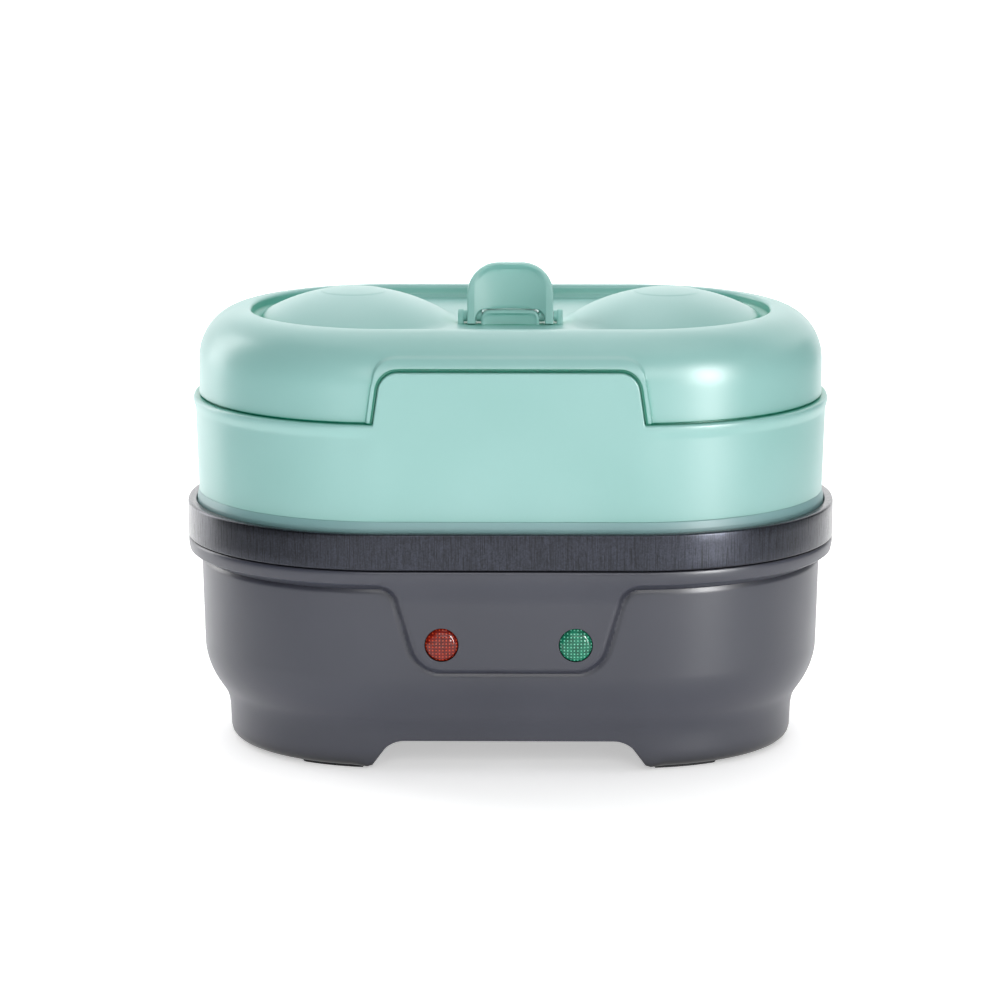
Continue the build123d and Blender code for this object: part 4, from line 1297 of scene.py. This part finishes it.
# %% [markdown]
# At the back a barrel runs between the collar's two ears. On the sunk top stand the handle's two
# small ears and, between them, a low boss that fills the handle's opening. Short sleeves cover the
# pin in between. These small forms are one piece, whose finish has no painted shade in its gaps and
# a lighter copy of the mint colour, painted light.

# %% Barrel, ears and boss
handle_back = 1.9
pivot_y = body_y - 7.0
pivot_z = recess_floor + 0.3 + handle_back
handle_bore = 1.3
barrel_web = [(2, -0.6), (2, 4), (0, 5), (-12.4, 9), (-12.4, 0.6)]
barrel = lug_surface(hinge_y, hinge_z, pin_bore, knuckle_radius, barrel_web, -barrel_half, barrel_half)


def handle_ear(x_low, x_high):
    """Small rounded ear that holds one end of the handle's pin."""
    web = [(-2.18, 0.3), (-2.58, -2.8), (2.58, -2.8), (2.18, 0.3)]
    return lug_surface(pivot_y, pivot_z, handle_bore, 2.2, web, x_low, x_high, 0.6)


def hub(x_low, x_high):
    """Short sleeve round the pin, which fills the gap beside a leg of the handle."""
    web = [(1, 0), (0, 1), (-1, 0), (0, -1)]
    return lug_surface(pivot_y, pivot_z, handle_bore, 1.85, web, x_low, x_high, 0.1)


def arch(half, low, shoulder_z, top, corner, leg_points, arch_points):
    """Arch from the left foot over the top to the right foot, with even steps in leg and arch."""
    corners = [(-half, shoulder_z), (-half, top), (half, top), (half, shoulder_z)]
    line = rounded(corners, [corner, corner], 24)
    way = way_along(line)
    stops = np.linspace(0, way[-1], arch_points)
    over = np.stack([np.interp(stops, way, line[:, k]) for k in range(2)], axis=-1)
    heights = np.linspace(low, shoulder_z, leg_points, endpoint=False)
    left = np.stack([np.full(leg_points, -half), heights], axis=-1)
    return np.concatenate([left, over, left[::-1] * [-1, 1]])


boss_half = 9.3
boss_top = lid_crest + 0.1
boss_low = recess_floor - 1.2
boss_front = -4.5
boss_back = 1.8
boss_corner = 2.6
boss_edge = 0.7
boss_dish = 1.5


def folded(grid, front, back):
    """Points of a block by the handle's pin: an (x, z) grid at its front depths, then at its back."""
    loop = np.concatenate([grid, grid[::-1]])
    depth = np.concatenate([front, back[::-1]])
    return np.stack([loop[..., 0], pivot_y + depth, loop[..., 1]], axis=-1)


def boss_surface():
    """Block with an arched front: soft edges, and a face dished between two narrow rims.

    The dish is depth * (1 - (x / half)^2), and the soft edge is the quarter circle of its radius.
    """
    steps = np.array([0, 0.06, 0.15, 0.3, 0.5, 0.7, 1.0, 1.25, 1.6])
    legs = np.array(
        [arch(boss_half - e, boss_low, boss_top - 3, boss_top - e, boss_corner - e, 6, 50) for e in steps]
    )
    share = np.linspace(0, 1, 9)[1:, None, None]
    grid = np.concatenate([legs, legs[-1] + share * (np.array([0, boss_low]) - legs[-1])])
    edge = nearest_distance(grid, legs[0])
    soft = soft_edge(boss_edge, edge)
    dish = boss_dish * smooth_step(0.5, 1.5, edge) * (1 - (grid[..., 0] / boss_half) ** 2)
    points = folded(grid, boss_front + dish + soft, boss_back - soft)
    return surface(points[::-1], closed_rows=True, closed_columns=False)


lid_parts = [surface(lid_grid), *both_halves(top_half, True), *both_halves(under_half, False), barrel]
lid_skin = make_piece("lid_skin", lid_parts, "lid", mint)
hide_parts("lid_shell")

ear_spans = [(14.8, 16.7), (-16.7, -14.8)]
hub_spans = [(9.0, 10.9), (13.8, 15.0), (-10.9, -9.0), (-15.0, -13.8)]
seat_parts = [handle_ear(*span) for span in ear_spans] + [hub(*span) for span in hub_spans]
make_piece("handle_seat", [*seat_parts, boss_surface()], "lid", mint_painted_lighter)


# %% [markdown]
# ## The handle
# A rounded tab with a dished front and an arched opening that straddles the boss. It is a band
# between two arches: the opening's edge and the outer edge. Rows run across that band, first over
# the front and then over the back, so the band closes on itself.

# %% Handle
handle_half = 13.7
handle_low = 135.9
handle_top = 154.9
handle_round = 10.0
opening_half = 11.0
opening_top = 140.2
opening_round = 3.0
handle_rim = 2.3
edge_round = 0.45
handle_wall = 1.2
front_lean = [-5.0, -1.7]
scoop_depth = [3.6, 2.2]
scoop_fade = (0.35, 2.4)
foot_share = 0.94
foot_lift = 0.2


def handle_arch(inset):
    """The handle's outer edge, moved in by some distance."""
    low, top = opening_top - opening_round, handle_top - inset
    return arch(handle_half - inset, handle_low, low, top, handle_round - inset, 8, 110)


def handle_surface():
    """Front: leaning plane, scooped between two rims. Back: upright, rounded under the pin.

    The scoop's section is depth * (1 - (x / s)^2), and it fades out close to the outer edge.
    """
    steps = np.array([0, 0.05, 0.15, 0.3, 0.5, 0.8, 1.1, 1.5, 1.9, 2.2])
    nested = np.array([handle_arch(step) for step in steps])
    shoulder_z = opening_top - opening_round
    opening = arch(opening_half, handle_low, shoulder_z, opening_top, opening_round - 0.01, 8, 110)
    share = np.linspace(0, 1, 17)[1:, None, None] ** 0.9
    front = np.concatenate([nested, nested[-1] + share * (opening - nested[-1])])
    from_edge = nearest_distance(front, nested[0])
    lean, deep = (
        np.interp(front[..., 1], [handle_low, handle_top], ends) for ends in (front_lean, scoop_depth)
    )
    scoop = deep * np.clip(1 - (front[..., 0] / (handle_half - handle_rim)) ** 2, 0, None)
    scoop = scoop * smooth_step(*scoop_fade, from_edge)
    soft = soft_edge(edge_round, np.minimum(from_edge, nearest_distance(front, opening)))
    below = np.clip(pivot_z - front[..., 1], 0, handle_back - 0.001)
    back_y = np.sqrt(handle_back**2 - below**2) - soft
    points = folded(front, np.minimum(lean + scoop + soft, back_y - handle_wall), back_y)
    ends = points[:, [0, -1]].mean(axis=0)
    narrowed = ends + foot_share * (points[:, [0, -1]] - ends)
    points[:, [0, -1], 2] += foot_lift
    caps = np.broadcast_to(ends[None], (len(points), 2, 3))
    points = np.concatenate([caps[:, :1], narrowed[:, :1], points, narrowed[:, 1:], caps[:, 1:]], axis=1)
    return surface(points[::-1], closed_rows=True, closed_columns=False)


handle = make_piece("handle_tab", [handle_surface()], "handle", mint_painted_lighter, sharp=40)
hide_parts("lid_handle")


# %% [markdown]
# ## The two lights
# Each lens is a clear bead: a smooth domed rim round a field of little pyramids, which break the
# light up. The depth of its face is one formula over rings and angles.

# %% Lenses
lens_crown = 1.5
lens_length = 6.5
field_edge = (3.5, 3.9)
pyramid_height = 0.14


def lens_surface(centre_x):
    """Dome: crown * (1 - (r/R)^4), with a field of small pyramids sunk into it inside the rim.

    A pyramid's depth grows with the larger of the two distances from the middle of its cell.
    """
    radius = np.concatenate([[0], np.linspace(0.3, 3.9, 26), np.linspace(4.0, lens_radius, 14)])
    angle = np.linspace(0, 2 * np.pi, 120, endpoint=False)
    x = radius[:, None] * np.cos(angle)
    z = radius[:, None] * np.sin(angle)
    away = np.hypot(x, z)
    across, up = (np.abs((way / pyramid_pitch) % 1 - 0.5) * 2 for way in (x, z))
    pyramids = pyramid_height * np.maximum(across, up) * (1 - smooth_step(*field_edge, away))
    front = lens_front + lens_crown * (away / lens_radius) ** 4 + pyramids
    face = np.stack([centre_x + x, front, light_z + z], axis=-1)
    lens_back = lens_front + lens_length
    back = disc_grid(centre_x, light_z, [(lens_radius, lens_back), (0, lens_back)], 120)
    return surface(np.concatenate([face, back]))


for name, node, slot, x, acrylic in (
    ("power_lens_bead", "power_light_lens", "red_lens", light_x, red_acrylic),
    ("ready_lens_bead", "ready_light_lens", "green_lens", -light_x, green_acrylic),
):
    bead = make_piece(name, [lens_surface(x)], "base", acrylic)
    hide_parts(node)


# %% [markdown]
# ## Camera, floor and light
# A long lens from straight ahead, eleven degrees up. The cooker stands on a white sweep. Large soft
# lights stand in front, behind and above, and one narrow strip of light to the right is seen only in
# the gloss. Two dark cards beside the table put a soft dark edge on each side of the casings.

# %% Camera
target = np.array([-3.43, 0.0, 75.5]) * mm
elevation = np.radians(11.0)
turn_right = np.radians(0.6)
distance = 1.6
sensor = 36
picture_width = 1000
picture_units_per_mm = 3.088
camera_data = bpy.data.cameras.new("camera")
camera_data.sensor_width = sensor
camera_data.lens = picture_units_per_mm * distance / mm * sensor / picture_width
camera_data.clip_end = 50
camera = new_object("camera", camera_data)
level_part = np.cos(elevation) * np.array([np.sin(turn_right), -np.cos(turn_right)])
camera.location = target + distance * np.array([*level_part, np.sin(elevation)])
camera.rotation_euler = (np.pi / 2 - elevation, 0, turn_right)
bpy.context.scene.camera = camera
print("lens", round(camera_data.lens, 1), "mm")


# %% Floor and backdrop
def paper_with_painted_shadow():
    """White sheet that glows, evenly far out and dimmer under the cooker: a painted shadow."""
    settings = {
        "Base Color": linear("FFFFFF"),
        "Roughness": 0.9,
        "Specular IOR Level": 0.2,
        "Emission Color": linear("FFFFFF"),
    }
    material, tree, shader, place = new_material("white paper sweep", settings)
    links = {"Vector": (place, "Object")}
    away = add_node(tree, "ShaderNodeVectorMath", settings={"operation": "LENGTH"}, links=links)
    # The glow drops near the cooker: a painted shadow under it.
    painted_glow = remap(tree, away, "Value", 0.08, 0.34, 0.46, 0.8, "SMOOTHSTEP")
    tree.links.new(painted_glow.outputs["Result"], shader.inputs["Emission Strength"])
    return material


sweep_line = rounded([(-3.0, 0.0), (1.6, 0.0), (1.6, 3.0)], [0.8], 24)
sweep_parts = np.broadcast_arrays(np.linspace(-4, 4, 9)[None, :], sweep_line[:, :1], sweep_line[:, 1:])
points, faces = surface(np.stack(sweep_parts, axis=-1), closed_columns=False)
sweep_mesh = new_mesh("sweep", points, faces)
sweep_mesh.shade_smooth()
sweep_mesh.materials.append(paper_with_painted_shadow())
sweep = new_object("sweep", sweep_mesh)
print("sweep laid")


# %% Lights
middle_of_cooker = (0, 0, 0.08)


def softbox(name, place, aim, width, height, power):
    """White rectangular light at a place, aimed at a point, sizes in metres and power in watts."""
    data = bpy.data.lights.new(name, "AREA")
    data.shape = "RECTANGLE"
    data.size, data.size_y = width, height
    data.energy = power
    light = new_object(name, data)
    light.location = place
    light.rotation_euler = (Vector(aim) - Vector(place)).to_track_quat("-Z", "Y").to_euler()
    light.visible_camera = False
    return light


softbox("front key", (0.15, -1.6, 0.75), middle_of_cooker, 1.3, 0.6, 9)
strip_light = softbox("right strip", (0.96, -0.92, 0.3), middle_of_cooker, 0.2, 0.9, 24)
strip_light.visible_diffuse = False
softbox("left back light", (-0.9, 0.55, 0.35), middle_of_cooker, 0.35, 0.9, 3.6)
softbox("top light", (0.1, 0.1, 1.4), (0, 0, 0), 1.6, 1.0, 6)


def flag(name, x, y_low, y_high, top, colour):
    """Upright dark card beside the table, which the camera does not see but the gloss does."""
    corners = [(x, y_low, 0), (x, y_high, 0), (x, y_high, top), (x, y_low, top)]
    mesh = new_mesh(name, np.array(corners, float), [[0, 1, 2, 3]])
    settings = {"Base Color": linear(colour), "Roughness": 0.9}
    mesh.materials.append(new_material("dark card", settings)[0])
    card = new_object(name, mesh)
    card.visible_camera = False


flag("left flag", -0.42, -0.55, 0.12, 0.7, "26272A")
flag("right flag", 0.5, -0.28, 0.6, 0.3, "5A5B5E")


def studio_world():
    """Pale surround, whose strength rises smoothly from 0.24 on the left to 0.29 on the right."""
    world = bpy.data.worlds.new("studio")
    world.use_nodes = True
    tree = world.node_tree
    tree.nodes.clear()
    place = add_node(tree, "ShaderNodeTexCoord")
    parts = add_node(tree, "ShaderNodeSeparateXYZ", links={"Vector": (place, "Generated")})
    strength = remap(tree, parts, "X", -0.8, 0.5, 0.24, 0.29, "SMOOTHSTEP")
    background = add_node(
        tree,
        "ShaderNodeBackground",
        inputs={"Color": linear("FFFFFF")},
        links={"Strength": (strength, "Result")},
    )
    add_node(tree, "ShaderNodeOutputWorld", links={"Surface": (background, "Background")})
    return world


bpy.context.scene.world = studio_world()
bpy.context.scene.view_settings.view_transform = "Standard"
